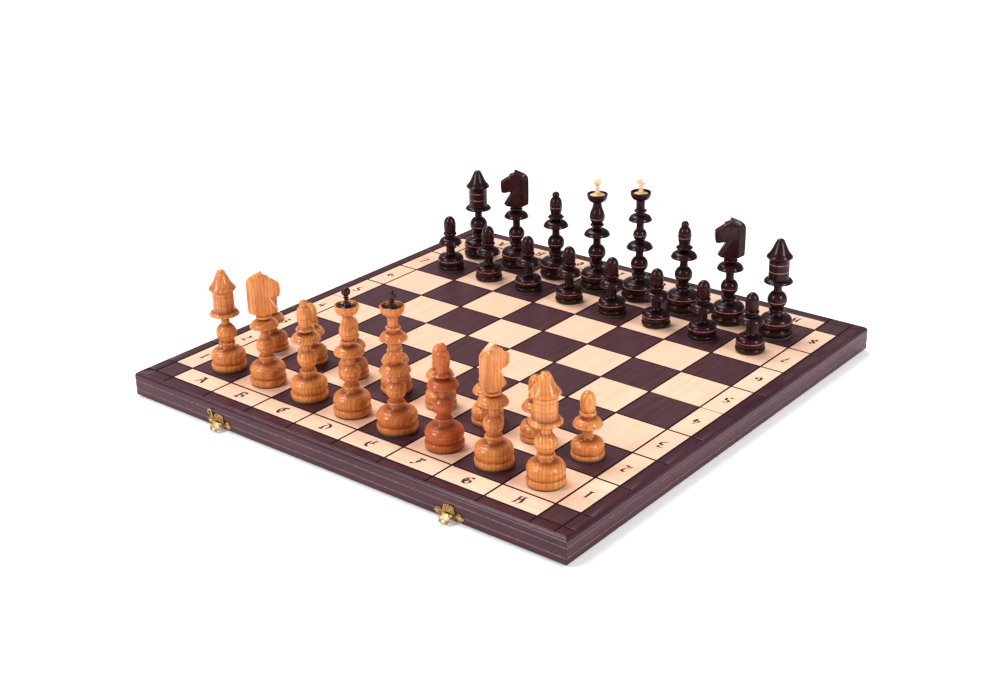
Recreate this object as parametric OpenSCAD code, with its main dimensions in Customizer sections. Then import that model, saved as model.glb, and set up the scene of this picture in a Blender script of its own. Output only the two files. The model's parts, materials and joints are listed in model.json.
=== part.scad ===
// Folding wooden chess board with a full set of turned chessmen.
// The board lies open with its playing face up and its two halves meet at y = 0.
// White stands on the -Y side, files a to h run along +X, and z = 0 is the table.

/* [Board] */
// Side of one playing square
square = 51; // [46:0.5:62]
// Width of the band of cells that holds the letters and numbers
band_w = 23.2; // [14:0.1:30]
// Width of the dark rim round that band
rim_w = 13.3; // [10:0.1:20]
// Height of each half, from its rim to its playing face
board_t = 22.5; // [20:0.1:40]
// Thickness of the playing panels
panel_t = 5; // [4:0.5:8]
// Width of the ledge that holds the panel's edge up
ledge_w = 5; // [3:0.5:10]
// Width of the rails on both sides of the fold
spine_w = 14; // [13:0.5:24]
// Width of the grooves between the squares
groove_w = 1.6; // [0.6:0.1:2.4]
// Depth of the grooves between the squares
groove_d = 0.9; // [0.4:0.1:1.5]
// Width of the moulding along the rim's upper edge
moulding_w = 2.4; // [1:0.1:4]
// Height of the upper V groove in the rails' outer faces
upper_line_z = 14.4; // [12:0.1:16]
// Height of the lower V groove in the rails' outer faces
lower_line_z = 5.8; // [4:0.1:9]
// Depth of the V grooves in the rails' outer faces
line_d = 0.7; // [0.3:0.1:1.2]

/* [Fold hinges] */
// Distance of each fold hinge from the middle of the board
hinge_x = 120; // [60:1:160]
// Length of a hinge along the fold
hinge_l = 36; // [24:1:60]
// Width of a hinge leaf
leaf_w = 9; // [7:0.5:10]
// Thickness of a hinge leaf
leaf_t = 1; // [0.6:0.1:1.6]
// Radius of the hinge barrels, which are the lowest points of the board
barrel_r = 1.5; // [1.2:0.1:2.5]
// Radius of the hinge pins
hinge_pin_r = 0.7; // [0.5:0.05:0.9]
// Gap between the rims when the board is folded shut
lid_gap = 0.3; // [0.1:0.1:1]
// Gap between the two halves at the fold when the board is open
seam_gap = 0.4; // [0.2:0.1:1]

/* [Latches] */
// Distance of each latch from the middle of the board
latch_x = 129.5; // [60:0.5:180]
// Height of the hasp's pivot above the rim
latch_z = 4.6; // [4:0.1:8]
// Height of the catch above the rear rim
catch_up = 1.5; // [1.4:0.1:4]
// Width of a hasp
hasp_w = 9.6; // [8:0.1:12]
// Thickness of the stamped brass
brass_t = 0.8; // [0.5:0.1:1.2]
// Radius of the latch barrels
latch_barrel_r = 1.2; // [1:0.1:1.6]
// Radius of the latch pins
latch_pin_r = 0.5; // [0.3:0.05:0.6]
// How far the catch stands out from the rear rail
catch_reach = 5; // [4:0.1:6]
// Room between the hasp's tip and the table
hasp_clearance = 0.3; // [0.1:0.1:1]

/* [Chessmen] */
// Distance that the tall chessmen stand off the middle of their squares, towards white's side
stand_off = 4; // [0:0.5:8]
// Height of the ring that a tall chessman stands on
foot_h = 7; // [5:0.1:8]
// Height of the shoulder where the foot ends
shoulder_z = 18.8; // [17:0.1:20]
// Height of the small ring under the ball
ring_z = 24.8; // [23.6:0.1:26]
// Radius of the thin necks
neck_r = 3.8; // [3:0.1:4.5]

/* [King] */
// Radius of the king's foot
king_foot_r = 17.4; // [15:0.1:20]
// Radius of the king's ball
king_ball_r = 8.6; // [8:0.1:9.5]
// Radius of the king's lower disc
king_disc_r = 13.1; // [11:0.1:14]
// Radius of the king's upper disc
king_collar_r = 11.6; // [9:0.1:12]
// Radius of the king's cup
king_cup_r = 10.2; // [9.4:0.1:12]
// Height of the king with its finial
king_h = 123; // [121:0.1:128]

/* [Queen] */
// Radius of the queen's foot
queen_foot_r = 16.3; // [15:0.1:19]
// Radius of the queen's ball
queen_ball_r = 8.9; // [8:0.1:9.5]
// Radius of the queen's disc
queen_disc_r = 13.1; // [11:0.1:14]
// Radius of the queen's cup
queen_cup_r = 10.4; // [9.4:0.1:12]
// Height of the queen with its finial
queen_h = 113.8; // [111:0.1:118]

/* [Bishop] */
// Radius of a bishop's foot
bishop_foot_r = 16.4; // [14:0.1:18]
// Radius of a bishop's ball
bishop_ball_r = 8.7; // [8:0.1:9.5]
// Radius of a bishop's disc
bishop_disc_r = 12.9; // [11:0.1:14]
// Radius of a bishop's mitre
mitre_r = 6.5; // [5.6:0.1:8]
// Height of a bishop
bishop_h = 90.6; // [90:0.1:94]

/* [Knight] */
// Radius of a knight's foot
knight_foot_r = 16.1; // [14:0.1:18]
// Radius of a knight's ball
knight_ball_r = 8.4; // [8:0.1:9.5]
// Radius of a knight's disc
knight_disc_r = 12.7; // [11:0.1:14]
// Thickness of a knight's carved head
head_t = 10.5; // [8:0.5:13]
// Radius of the peg that holds the head
peg_r = 2.2; // [1.5:0.1:3]
// Radial room round the peg
peg_clearance = 0.05; // [0.02:0.01:0.1]
// Directions that the white knights look in, b then g
white_gaze = [52, 86]; // [0:1:360]
// Directions that the black knights look in, b then g
black_gaze = [219, 219]; // [0:1:360]

/* [Rook] */
// Radius of a rook's foot
rook_foot_r = 15.8; // [14:0.1:18]
// Radius of a rook's ball
rook_ball_r = 9.2; // [8:0.1:9.5]
// Radius of a rook's disc
rook_disc_r = 13.5; // [11:0.1:14]
// Radius of a rook's turret
turret_r = 9.5; // [8:0.1:10.5]
// Radius of a rook's eaves
eaves_r = 12.2; // [11:0.1:13]
// Height of a rook
rook_h = 94.4; // [92:0.1:98]

/* [Pawn] */
// Radius of a pawn's foot
pawn_foot_r = 13.8; // [12:0.1:16]
// Height of the ring that a pawn stands on
pawn_ring_h = 4.8; // [4:0.1:6]
// Radius of a pawn's disc
pawn_disc_r = 12; // [10:0.1:13]
// Radius of a pawn's head
pawn_head_r = 6.3; // [5:0.1:7.5]
// Height of a pawn
pawn_h = 57; // [54:0.1:62]

/* [Hidden] */
file_names = "abcdefgh";

dark_wood = [0.22, 0.12, 0.13];
panel_wood = [0.86, 0.74, 0.56];
white_wood = [0.80, 0.52, 0.27];
black_wood = [0.13, 0.05, 0.06];
brass = [0.80, 0.66, 0.34];

// Margin that lets a cut run past the face it opens
over = 1;

// Board
half = 4 * square + band_w + rim_w;
field = 4 * square + band_w;
rail_w = rim_w + ledge_w;
fold_z = barrel_r;
rim_z = fold_z + lid_gap / 2;
top_z = rim_z + board_t;
seam = seam_gap / 2;
moulding_step = 0.7;
files = [for (i = [-4:4]) i * square];
ranks = [for (i = [-4:-1]) i * square];

// Fold hinges
barrel_clearance = 0.3;
knuckle_gap = 0.3;
pin_clearance = 0.05;
mortise_clearance = 0.1;
knuckle_l = hinge_l / 3;
leaf_y = barrel_r + barrel_clearance;
pin_head_r = barrel_r - 0.3;
pin_head_t = 0.6;

// Nails
nail_r = 0.75;
nail_head_r = 1.5;
nail_head_t = 0.6;
nail_l = 7;
nail_clearance = 0.05;
hinge_nails = [-hinge_l / 3, 0, hinge_l / 3];
nail_y = leaf_y + leaf_w / 2;

// Latches
latch_y = half + brass_t + latch_barrel_r + 0.2;
pivot_z = rim_z + latch_z;
plate_knuckle_l = 2;
latch_gap = 0.2;
ear_x = 11;
ear_z = -0.4;
catch_z = rim_z + catch_up;
catch_drop = pivot_z + catch_z - 2 * fold_z;
hasp_tail = 2;
hasp_l = catch_drop + hasp_tail;
hasp_tilt = acos((pivot_z - hasp_clearance) / hasp_l);
catch_w = 3;
catch_h = 1.6;
catch_nail_y = 1;
plate_nail_z = pivot_z + ear_z;
catch_nail_z = catch_z + catch_nail_y;
window_w = catch_w + 1.2;
window_h = catch_h + 1.2;

// Chessmen
foot_bead = 1.2;
notch_h = 1;
notch_d = 0.6;
bulge_z = 13;
shoulder_r = 10.6;
cove_r = 5.6;
disc_edge = 0.9;
peg_l = 6;
head_z = 65.6;
king_cup_z = 110.2;
king_seat_d = 3.4;
queen_cup_z = 98.5;
queen_seat_d = 2.6;
finial_r = 7.8;
cross_bar = 2.6;
cross_arm = 4.4;
cross_up = 7.6;
cross_arm_up = 3.4;

// Curves that a turned outline is made of, from bottom to top

// Half-round bead that stands out from r0 to r1 between z0 and z1
function bead(r0, r1, z0, z1, n = 6) =
    [for (i = [0:n]) [r0 + (r1 - r0) * sin(180 * i / n), (z0 + z1) / 2 - (z1 - z0) / 2 * cos(180 * i / n)]];

// Ball of radius r round height z, from radius r0 below to r1 above
function ball(r, z, r0, r1, n = 10) =
    let (a0 = -acos(r0 / r), a1 = acos(r1 / r))
    [for (i = [0:n]) let (a = a0 + (a1 - a0) * i / n) [r * cos(a), z + r * sin(a)]];

// Hollow curve from a flat start at p to an upright end at q
function cove(p, q, n = 5) =
    [for (i = [0:n]) let (a = 90 * i / n) [p.x + (q.x - p.x) * sin(a), p.y + (q.y - p.y) * (1 - cos(a))]];

// Round curve from an upright start at p to a flat end at q
function dome(p, q, n = 6) =
    [for (i = [0:n]) let (a = 90 * i / n) [p.x + (q.x - p.x) * (1 - cos(a)), p.y + (q.y - p.y) * sin(a)]];

// Disc of radius r at height z on a neck, sloping below and domed above
function disc(r, z, below_r, above_r, fall = 3, rise = 5.5) = concat(
    [[below_r, z - fall], [r - 0.4, z - disc_edge / 2], [r, z]],
    dome([r - 0.4, z + disc_edge / 2], [above_r, z + rise], 4)
);

// Foot of a chessman, up to the cove over its shoulder
function foot(r) = concat(
    [[0, 0]],
    bead(r - foot_bead, r, 0, foot_h),
    [[r - foot_bead - notch_d, foot_h], [r - foot_bead - notch_d, foot_h + notch_h]],
    [[r - 0.5, bulge_z - 2]],
    dome([r - 0.3, bulge_z], [shoulder_r, shoulder_z]),
    cove([shoulder_r - 0.6, shoulder_z + 0.4], [cove_r, ring_z - 1.8])
);

// Foot, ring, ball and neck that the tall chessmen share, up to the thin disc
function stem(foot_r, ball_r, ball_z, disc_r, disc_z, above_r, rise = 5.5) = concat(
    foot(foot_r),
    bead(cove_r, cove_r + 1.6, ring_z - 1.4, ring_z + 1.4),
    ball(ball_r, ball_z, cove_r - 0.6, neck_r),
    disc(disc_r, disc_z, neck_r, above_r, rise = rise)
);

// Cup that opens upwards from a neck, with a shallow seat for a finial
function cup(r, z0, z1, seat_r, seat_d) = concat(
    cove([neck_r, z0], [r, z1 - 1.6], 7),
    [[r, z1 - 0.6], [r - 0.4, z1], [r - 1.2, z1]],
    [[seat_r + 0.4, z1 - seat_d], [0, z1 - seat_d]]
);

king_outline = concat(
    stem(king_foot_r, king_ball_r, 35.8, king_disc_r, 53.1, 4.6),
    [[neck_r, 59.4]],
    ball(6.8, 66.2, 4.4, neck_r),
    disc(king_collar_r, 81.8, neck_r, 4.4, fall = 2.4, rise = 5.2),
    [[neck_r + 0.3, 88.2]],
    bead(neck_r + 0.3, 6.2, 89.5, 92.3),
    [[neck_r + 0.3, 93.6]],
    cup(king_cup_r, 101.7, king_cup_z, finial_r, king_seat_d)
);

queen_outline = concat(
    stem(queen_foot_r, queen_ball_r, 37, queen_disc_r, 55.9, 4.6),
    [[neck_r, 61.9]],
    bead(neck_r, 6.9, 64.5, 67.7),
    ball(7.7, 75.2, 4.6, neck_r),
    cup(queen_cup_r, 89.6, queen_cup_z, finial_r, queen_seat_d)
);

bishop_outline = concat(
    stem(bishop_foot_r, bishop_ball_r, 36.4, bishop_disc_r, 54.6, 4.8),
    [[neck_r + 0.6, 60.6]],
    bead(neck_r + 0.6, 8.2, 62.2, 65.8),
    [[5.2, 66.8]],
    dome([mitre_r - 0.8, 72], [mitre_r - 1.2, 72.4]),
    [[mitre_r, 75.6], [mitre_r - 0.5, 79.4], [mitre_r - 1.5, 82.4], [neck_r - 0.6, 84.4]],
    ball(3.8, bishop_h - 3.8, neck_r - 0.8, 0.4)
);

knight_outline = concat(
    stem(knight_foot_r, knight_ball_r, 35.4, knight_disc_r, 54.2, 4.6),
    [[neck_r, 60.2]],
    bead(neck_r + 0.2, 6.7, 61, 64),
    [[5.2, 64.6], [5.2, head_z], [0, head_z]]
);

rook_outline = concat(
    stem(rook_foot_r, rook_ball_r, 34.8, rook_disc_r, 53, turret_r + 1, rise = 2.6),
    [[turret_r, 55.8], [turret_r, 74]],
    [[eaves_r - 0.5, 76.2], [eaves_r, 77.2], [eaves_r - 0.6, 78]],
    cove([eaves_r - 1.8, 78.8], [4.9, 86.5]),
    dome([3.7, rook_h - 3.4], [0.4, rook_h])
);

pawn_outline = concat(
    [[0, 0]],
    bead(pawn_foot_r - 0.8, pawn_foot_r, 0, pawn_ring_h),
    [[pawn_foot_r - 1.2, pawn_ring_h], [pawn_foot_r - 1.2, pawn_ring_h + 0.8]],
    dome([pawn_foot_r - 0.4, 9.6], [9.4, 15]),
    cove([8.8, 15.2], [4.5, 18]),
    disc(pawn_disc_r, 28.2, 4.5, 5.4, fall = 3.6, rise = 6),
    [[4.6, 34.6]],
    bead(5, 6.9, 36.6, 40),
    [[pawn_head_r - 0.7, 41], [pawn_head_r, 45]],
    dome([pawn_head_r, 48.5], [0.4, pawn_h])
);

king_finial_outline = concat(
    [[0, 0], [finial_r, 0], [finial_r, 0.8]],
    cove([finial_r - 0.4, 1.2], [1.9, 6.4]),
    [[2.3, 7.6], [1.6, 8.4], [0, 8.4]]
);

queen_finial_outline = concat(
    [[0, 0], [finial_r, 0], [finial_r, 0.6]],
    cove([finial_r - 0.5, 1], [1.7, 7.2]),
    [[2.4, 8.2], [1.7, 9]],
    ball(3.9, queen_h - (queen_cup_z - queen_seat_d) - 3.9, 1.8, 0.4)
);

// Side view of a knight's head, nose towards +X and z counted from the head's seat
head_outline = [
    [-4.6, 0], [-12.8, 1.4], [-12.8, 29.8], [-11, 32.4], [-6.4, 35.4], [1.2, 38.4],
    [1.8, 34.8], [6.8, 33.2], [7.6, 31], [15.8, 26.2], [15.2, 14.6], [12.2, 14.2],
    [6.4, 16.2], [5.6, 14.4], [9.6, 8], [12.8, 2.6], [10, 1], [4.6, 0],
];

// Right half of a latch plate's outline, from the crown's tip down to the bottom edge
plate_half = [
    [0, 9.6], [1.1, 8], [2.5, 8.8], [3.4, 7.4], [5.2, 7.2], [5.6, 5], [6.9, 3.2], [8.4, 3.6],
    [9.6, 2], [12, 3], [12.6, 1.2], [15, 0], [12.6, -1.2], [12, -3], [9.4, -2.4], [7, -3.4], [0, -3.4],
];

// Mirror image of a half outline, so that both halves make one closed outline
function both_sides(h) = concat(h, [for (i = [len(h) - 2:-1:1]) [-h[i].x, h[i].y]]);

// Section of an outer rail, with x running inwards from its outer face and y up
module rail_section() {
    lip = groove_w / 2;
    polygon(concat(
        [[0, 0]],
        [[0, lower_line_z - line_d], [line_d, lower_line_z], [0, lower_line_z + line_d]],
        [[0, upper_line_z - line_d], [line_d, upper_line_z], [0, upper_line_z + line_d]],
        [[0, board_t - moulding_w]],
        dome([moulding_step, board_t - moulding_w], [moulding_w, board_t], 5),
        [[rim_w - lip, board_t], [rim_w - lip, board_t - groove_d], [rim_w, board_t - groove_d]],
        [[rim_w, board_t - panel_t], [rail_w, board_t - panel_t], [rail_w, 0]]
    ));
}

// Groove along Y at each x of a list, from y0 to y1
module grooves_along_y(xs, y0, y1) {
    for (x = xs)
        translate([x - groove_w / 2, y0, top_z - groove_d])
            cube([groove_w, y1 - y0, groove_d + over]);
}

// Groove along X at each y of a list, from x0 to x1
module grooves_along_x(ys, x0, x1) {
    for (y = ys)
        translate([x0, y - groove_w / 2, top_z - groove_d])
            cube([x1 - x0, groove_w, groove_d + over]);
}

// Front outer rail, mitred at both ends, with holes for the latch nails at height nail_z
module outer_rail_solid(nail_z) {
    difference() {
        translate([-half, -half, rim_z])
            rotate([90, 0, 90])
                linear_extrude(2 * half)
                    rail_section();
        for (side = [0, 1])
            mirror([side, 0, 0])
                translate([0, 0, rim_z - over])
                    linear_extrude(board_t + 2 * over)
                        polygon([
                            [-half - over, -half - over],
                            [-half - over, -half + rail_w + over],
                            [-half + rail_w + over, -half + rail_w + over],
                        ]);
        grooves_along_y(concat([-field, field], files), -half + moulding_w, -field + over);
        latch_nail_holes(nail_z);
    }
}

// Right-hand side rail of the front half, mitred at the front and square at the fold
module side_rail_solid() {
    difference() {
        translate([half, -half, rim_z])
            rotate([90, 0, 180])
                linear_extrude(half - seam)
                    rail_section();
        translate([0, 0, rim_z - over])
            linear_extrude(board_t + 2 * over)
                polygon([
                    [half + over, -half - over],
                    [half - rail_w - over, -half - over],
                    [half - rail_w - over, -half + rail_w + over],
                ]);
        grooves_along_x(concat([-field], ranks), field - over, half - moulding_w);
    }
}

// Rail under the front panel's edge at the fold, mortised for the hinges
module spine_rail_solid() {
    difference() {
        translate([-half + rail_w, -seam - spine_w, rim_z])
            cube([2 * (half - rail_w), spine_w, board_t - panel_t]);
        for (x = [-hinge_x, hinge_x])
            translate([x, 0, 0])
                hinge_mortise();
    }
}

// Front playing panel with the grooves round its squares and label cells
module panel_solid() {
    lip = groove_w / 2;
    difference() {
        translate([-field, -field, top_z - panel_t])
            cube([2 * field, field - seam, panel_t]);
        grooves_along_y(files, -field - over, over);
        grooves_along_x(ranks, -field - over, field + over);
        grooves_along_y([-field, field], -field - over, over);
        grooves_along_x([-field], -field - over, field + over);
    }
}

// Room in a spine rail for one hinge leaf, the barrel and the nails
module hinge_mortise() {
    l = hinge_l + 2 * mortise_clearance;
    w = leaf_y + leaf_w + mortise_clearance;
    translate([-l / 2, -w, rim_z - over])
        cube([l, w + over, leaf_t + over]);
    barrel_l = hinge_l + 2 * (pin_head_t + barrel_clearance);
    translate([-barrel_l / 2, 0, fold_z])
        rotate([0, 90, 0])
            cylinder(h = barrel_l, r = leaf_y, $fn = 32);
    for (x = hinge_nails)
        translate([x, -nail_y, rim_z])
            nail_hole();
}

// Hole that a nail goes up into from z = 0
module nail_hole() {
    cylinder(h = nail_l + 0.2, r = nail_r + nail_clearance, $fn = 24);
}

// Nail with a countersunk head that is flush with z = 0
module countersunk_nail() {
    cylinder(h = nail_head_t, r1 = nail_head_r, r2 = nail_r, $fn = 24);
    cylinder(h = nail_l, r = nail_r, $fn = 24);
}

// Seat for a countersunk nail
module countersink() {
    c = nail_clearance;
    cylinder(h = nail_head_t, r1 = nail_head_r + c, r2 = nail_r + c, $fn = 24);
    translate([0, 0, -over])
        cylinder(h = nail_l, r = nail_r + c, $fn = 24);
}

// One knuckle of a fold hinge, from x0 to x1, with the tab that ties it to its leaf
module knuckle(x0, x1) {
    translate([x0, 0, fold_z])
        rotate([0, 90, 0])
            cylinder(h = x1 - x0, r = barrel_r, $fn = 32);
    translate([x0, -leaf_y - over, rim_z])
        cube([x1 - x0, leaf_y + over, leaf_t]);
}

// Hinge leaf on the front side, with knuckles over the spans in a list of [x0, x1]
module hinge_leaf(spans) {
    difference() {
        union() {
            translate([-hinge_l / 2, -leaf_y - leaf_w, rim_z])
                cube([hinge_l, leaf_w, leaf_t]);
            for (s = spans)
                knuckle(s[0], s[1]);
        }
        translate([-hinge_l / 2 - over, 0, fold_z])
            rotate([0, 90, 0])
                cylinder(h = hinge_l + 2 * over, r = hinge_pin_r + pin_clearance, $fn = 24);
        for (x = hinge_nails)
            translate([x, -nail_y, rim_z])
                countersink();
    }
}

outer_knuckles = [
    [-hinge_l / 2, -knuckle_l / 2 - knuckle_gap / 2],
    [knuckle_l / 2 + knuckle_gap / 2, hinge_l / 2],
];
middle_knuckle = [[-knuckle_l / 2 + knuckle_gap / 2, knuckle_l / 2 - knuckle_gap / 2]];

module at_hinges() {
    for (x = [-hinge_x, hinge_x])
        translate([x, 0, 0])
            children();
}

module front_hinge_leaves() {
    color(brass)
        at_hinges()
            hinge_leaf(outer_knuckles);
}

module rear_hinge_leaves() {
    color(brass)
        mirror([0, 1, 0])
            at_hinges()
                hinge_leaf(middle_knuckle);
}

// Pins of the fold hinges, each with a head at both ends
module hinge_pins() {
    color(brass)
        at_hinges()
            translate([0, 0, fold_z])
                rotate([0, 90, 0])
                    headed_pin(hinge_pin_r, pin_head_r, hinge_l, pin_head_t);
}

// Pin along Z, centred, whose two heads hold a barrel of length l
module headed_pin(r, head_r, l, head_t) {
    cylinder(h = l + head_t, r = r, center = true, $fn = 24);
    for (side = [0, 1])
        mirror([0, 0, side])
            translate([0, 0, l / 2])
                cylinder(h = head_t, r = head_r, $fn = 24);
}

module at_latches() {
    for (x = [-latch_x, latch_x])
        translate([x, 0, 0])
            children();
}

// Carries a shape from the XY plane to the front rail's face: y becomes up and z becomes outwards
module on_front_face(z) {
    translate([0, -half, z])
        rotate([90, 0, 0])
            children();
}

// Holes in the front rail for the nails that hold a latch's plates, at height z
module latch_nail_holes(z) {
    at_latches()
        for (x = [-ear_x, ear_x])
            on_front_face(z)
                translate([x, 0, -nail_l])
                    cylinder(h = nail_l + over, r = nail_r + nail_clearance, $fn = 24);
}

// Round-headed nail that holds a plate of thickness brass_t against z = 0
module plate_nail() {
    translate([0, 0, brass_t - nail_l])
        cylinder(h = nail_l, r = nail_r, $fn = 24);
    translate([0, 0, brass_t])
        cylinder(h = nail_head_t, r1 = nail_head_r, r2 = nail_r, $fn = 24);
}

// Pair of hinge ears on a latch plate, round the hasp's pivot
module latch_ears() {
    y = latch_y - half;
    for (side = [0, 1])
        mirror([side, 0, 0])
            translate([hasp_w / 2 - plate_knuckle_l, 0, 0]) {
                translate([0, 0, y])
                    rotate([0, 90, 0])
                        cylinder(h = plate_knuckle_l - latch_gap, r = latch_barrel_r, $fn = 32);
                translate([0, -latch_barrel_r * 0.6, 0])
                    cube([plate_knuckle_l - latch_gap, latch_barrel_r * 1.2, y]);
            }
}

// Stamped plate of one latch with its crown, leaf ears and hinge ears
module latch_plate() {
    y = latch_y - half;
    difference() {
        union() {
            linear_extrude(brass_t)
                polygon(both_sides(plate_half));
            translate([0, 5, brass_t])
                cylinder(h = 1, r1 = 2.6, r2 = 1.8, $fn = 32);
            latch_ears();
        }
        translate([-hasp_w, 0, y])
            rotate([0, 90, 0])
                cylinder(h = 2 * hasp_w, r = latch_pin_r + pin_clearance, $fn = 24);
        for (x = [-ear_x, ear_x])
            translate([x, ear_z, -over])
                cylinder(h = brass_t + 2 * over, r = nail_r + nail_clearance, $fn = 24);
    }
}

module front_latch_plates() {
    color(brass)
        at_latches()
            on_front_face(pivot_z)
                latch_plate();
}

module latch_pins() {
    color(brass)
        at_latches()
            translate([0, -latch_y, pivot_z])
                rotate([0, 90, 0])
                    headed_pin(latch_pin_r, latch_barrel_r - 0.3, hasp_w - 2 * latch_gap, 0.4);
}

// Hasp that hangs down from its pivot at the origin and faces -Y, with a window for the catch
module hasp() {
    inner_w = hasp_w - 2 * (plate_knuckle_l + latch_gap);
    difference() {
        union() {
            rotate([0, 90, 0])
                cylinder(h = inner_w, r = latch_barrel_r, center = true, $fn = 32);
            translate([-inner_w / 2, -latch_barrel_r, -latch_barrel_r - 1])
                cube([inner_w, brass_t, latch_barrel_r + 1]);
            translate([-hasp_w / 2, -latch_barrel_r, -hasp_l + brass_t])
                cube([hasp_w, brass_t, hasp_l - brass_t - latch_barrel_r - 0.6]);
            translate([0, -latch_barrel_r + brass_t / 2, -hasp_l + brass_t])
                rotate([0, 90, 0])
                    cylinder(h = hasp_w, r = brass_t / 2, center = true, $fn = 24);
        }
        rotate([0, 90, 0])
            cylinder(h = inner_w + 2 * over, r = latch_pin_r + pin_clearance, center = true, $fn = 24);
        translate([-window_w / 2, -latch_barrel_r - over, -catch_drop - window_h / 2])
            cube([window_w, brass_t + 2 * over, window_h]);
    }
}

// Hasp at the left or right latch, swung out so that its tip is just over the table
module hung_hasp(x) {
    color(brass)
        translate([x, -latch_y, pivot_z])
            rotate([-hasp_tilt, 0, 0])
                hasp();
}

// Catch plate of one latch, drawn as on the front rail: a stamped plate with a hooked nub
module catch_plate() {
    difference() {
        union() {
            linear_extrude(brass_t)
                polygon([
                    [-ear_x - 3, 1], [-ear_x, 3.4], [-5, 2.6], [-2.6, 5.4], [0, 6.6], [2.6, 5.4], [5, 2.6],
                    [ear_x, 3.4], [ear_x + 3, 1], [ear_x, -1.2], [5, -1], [2.4, -1.3], [-2.4, -1.3],
                    [-5, -1], [-ear_x, -1.2],
                ]);
            translate([-catch_w / 2, -catch_h / 2, 0])
                cube([catch_w, catch_h, catch_reach]);
        }
        for (x = [-ear_x, ear_x])
            translate([x, catch_nail_y, -over])
                cylinder(h = brass_t + 2 * over, r = nail_r + nail_clearance, $fn = 24);
    }
}

module rear_catch_plates() {
    color(brass)
        mirror([0, 1, 0])
            at_latches()
                on_front_face(catch_z)
                    catch_plate();
}

module hinge_nails_solid() {
    at_hinges()
        for (x = hinge_nails)
            translate([x, -nail_y, rim_z])
                countersunk_nail();
}

module front_nails() {
    color(brass) {
        hinge_nails_solid();
        at_latches()
            for (x = [-ear_x, ear_x])
                on_front_face(plate_nail_z)
                    translate([x, 0, 0])
                        plate_nail();
    }
}

module rear_nails() {
    color(brass)
        mirror([0, 1, 0]) {
            hinge_nails_solid();
            at_latches()
                for (x = [-ear_x, ear_x])
                    on_front_face(catch_nail_z)
                        translate([x, 0, 0])
                            plate_nail();
        }
}

module front_panel() { color(panel_wood) panel_solid(); }
module front_outer_rail() { color(dark_wood) outer_rail_solid(plate_nail_z); }
module front_right_rail() { color(dark_wood) side_rail_solid(); }
module front_left_rail() { color(dark_wood) mirror([1, 0, 0]) side_rail_solid(); }
module front_spine_rail() { color(dark_wood) spine_rail_solid(); }
module rear_panel() { color(panel_wood) mirror([0, 1, 0]) panel_solid(); }
module rear_right_rail() { color(dark_wood) mirror([0, 1, 0]) side_rail_solid(); }
module rear_left_rail() { color(dark_wood) mirror([1, 0, 0]) mirror([0, 1, 0]) side_rail_solid(); }
module rear_spine_rail() { color(dark_wood) mirror([0, 1, 0]) spine_rail_solid(); }
module rear_outer_rail() { color(dark_wood) mirror([0, 1, 0]) outer_rail_solid(catch_nail_z); }

// Puts a chessman on a square, with file and rank counted from 0, a distance off its middle
module on_square(file, rank, off = stand_off) {
    translate([(file - 3.5) * square, (rank - 3.5) * square - off, top_z])
        children();
}

module turned(outline) {
    rotate_extrude($fn = 64)
        polygon(concat(outline, [[0, outline[len(outline) - 1].y]]));
}

module chessman(wood, outline, file, rank) {
    color(wood)
        on_square(file, rank)
            turned(outline);
}

module pawn(wood, file, rank) {
    color(wood)
        on_square(file, rank, 0)
            turned(pawn_outline);
}

// Small cross on a flared foot that sits in the king's cup
module king_finial(wood, file, rank) {
    seat = king_cup_z - king_seat_d;
    cross_z = seat + cross_up;
    color(wood)
        on_square(file, rank) {
            translate([0, 0, seat])
                turned(king_finial_outline);
            translate([-cross_bar / 2, -cross_bar / 2, cross_z])
                cube([cross_bar, cross_bar, king_h - cross_z]);
            translate([-cross_arm, -cross_bar / 2, cross_z + cross_arm_up])
                cube([2 * cross_arm, cross_bar, cross_bar]);
        }
}

// Flared stem and bead that sit in the queen's cup
module queen_finial(wood, file, rank) {
    color(wood)
        on_square(file, rank)
            translate([0, 0, queen_cup_z - queen_seat_d])
                turned(queen_finial_outline);
}

// Turned part of a knight, bored for the peg of its head
module knight(wood, file, rank) {
    color(wood)
        on_square(file, rank)
            difference() {
                turned(knight_outline);
                translate([0, 0, head_z - peg_l - 0.2])
                    cylinder(h = peg_l + over, r = peg_r + peg_clearance, $fn = 32);
            }
}

// Carved head of a knight that looks in a given direction, with its peg
module knight_head(wood, file, rank, gaze) {
    color(wood)
        on_square(file, rank)
            translate([0, 0, head_z])
                rotate([0, 0, gaze]) {
                    rotate([90, 0, 0])
                        linear_extrude(head_t, center = true)
                            polygon(head_outline);
                    translate([0, 0, -peg_l])
                        cylinder(h = peg_l + 2, r = peg_r, $fn = 32);
                }
}

front_panel();
front_outer_rail();
front_left_rail();
front_right_rail();
front_spine_rail();
rear_panel();
rear_outer_rail();
rear_left_rail();
rear_right_rail();
rear_spine_rail();
front_hinge_leaves();
rear_hinge_leaves();
hinge_pins();
front_latch_plates();
latch_pins();
hung_hasp(-latch_x);  // left_hasp
hung_hasp(latch_x);  // right_hasp
rear_catch_plates();
front_nails();
rear_nails();
chessman(white_wood, king_outline, 4, 0);  // white_king
king_finial(black_wood, 4, 0);  // white_king_finial
chessman(white_wood, queen_outline, 3, 0);  // white_queen
queen_finial(black_wood, 3, 0);  // white_queen_finial
chessman(white_wood, bishop_outline, 2, 0);  // white_bishop_c
chessman(white_wood, bishop_outline, 5, 0);  // white_bishop_f
knight(white_wood, 1, 0);  // white_knight_b
knight_head(white_wood, 1, 0, white_gaze[0]);  // white_knight_b_head
knight(white_wood, 6, 0);  // white_knight_g
knight_head(white_wood, 6, 0, white_gaze[1]);  // white_knight_g_head
chessman(white_wood, rook_outline, 0, 0);  // white_rook_a
chessman(white_wood, rook_outline, 7, 0);  // white_rook_h
chessman(black_wood, king_outline, 4, 7);  // black_king
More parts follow.
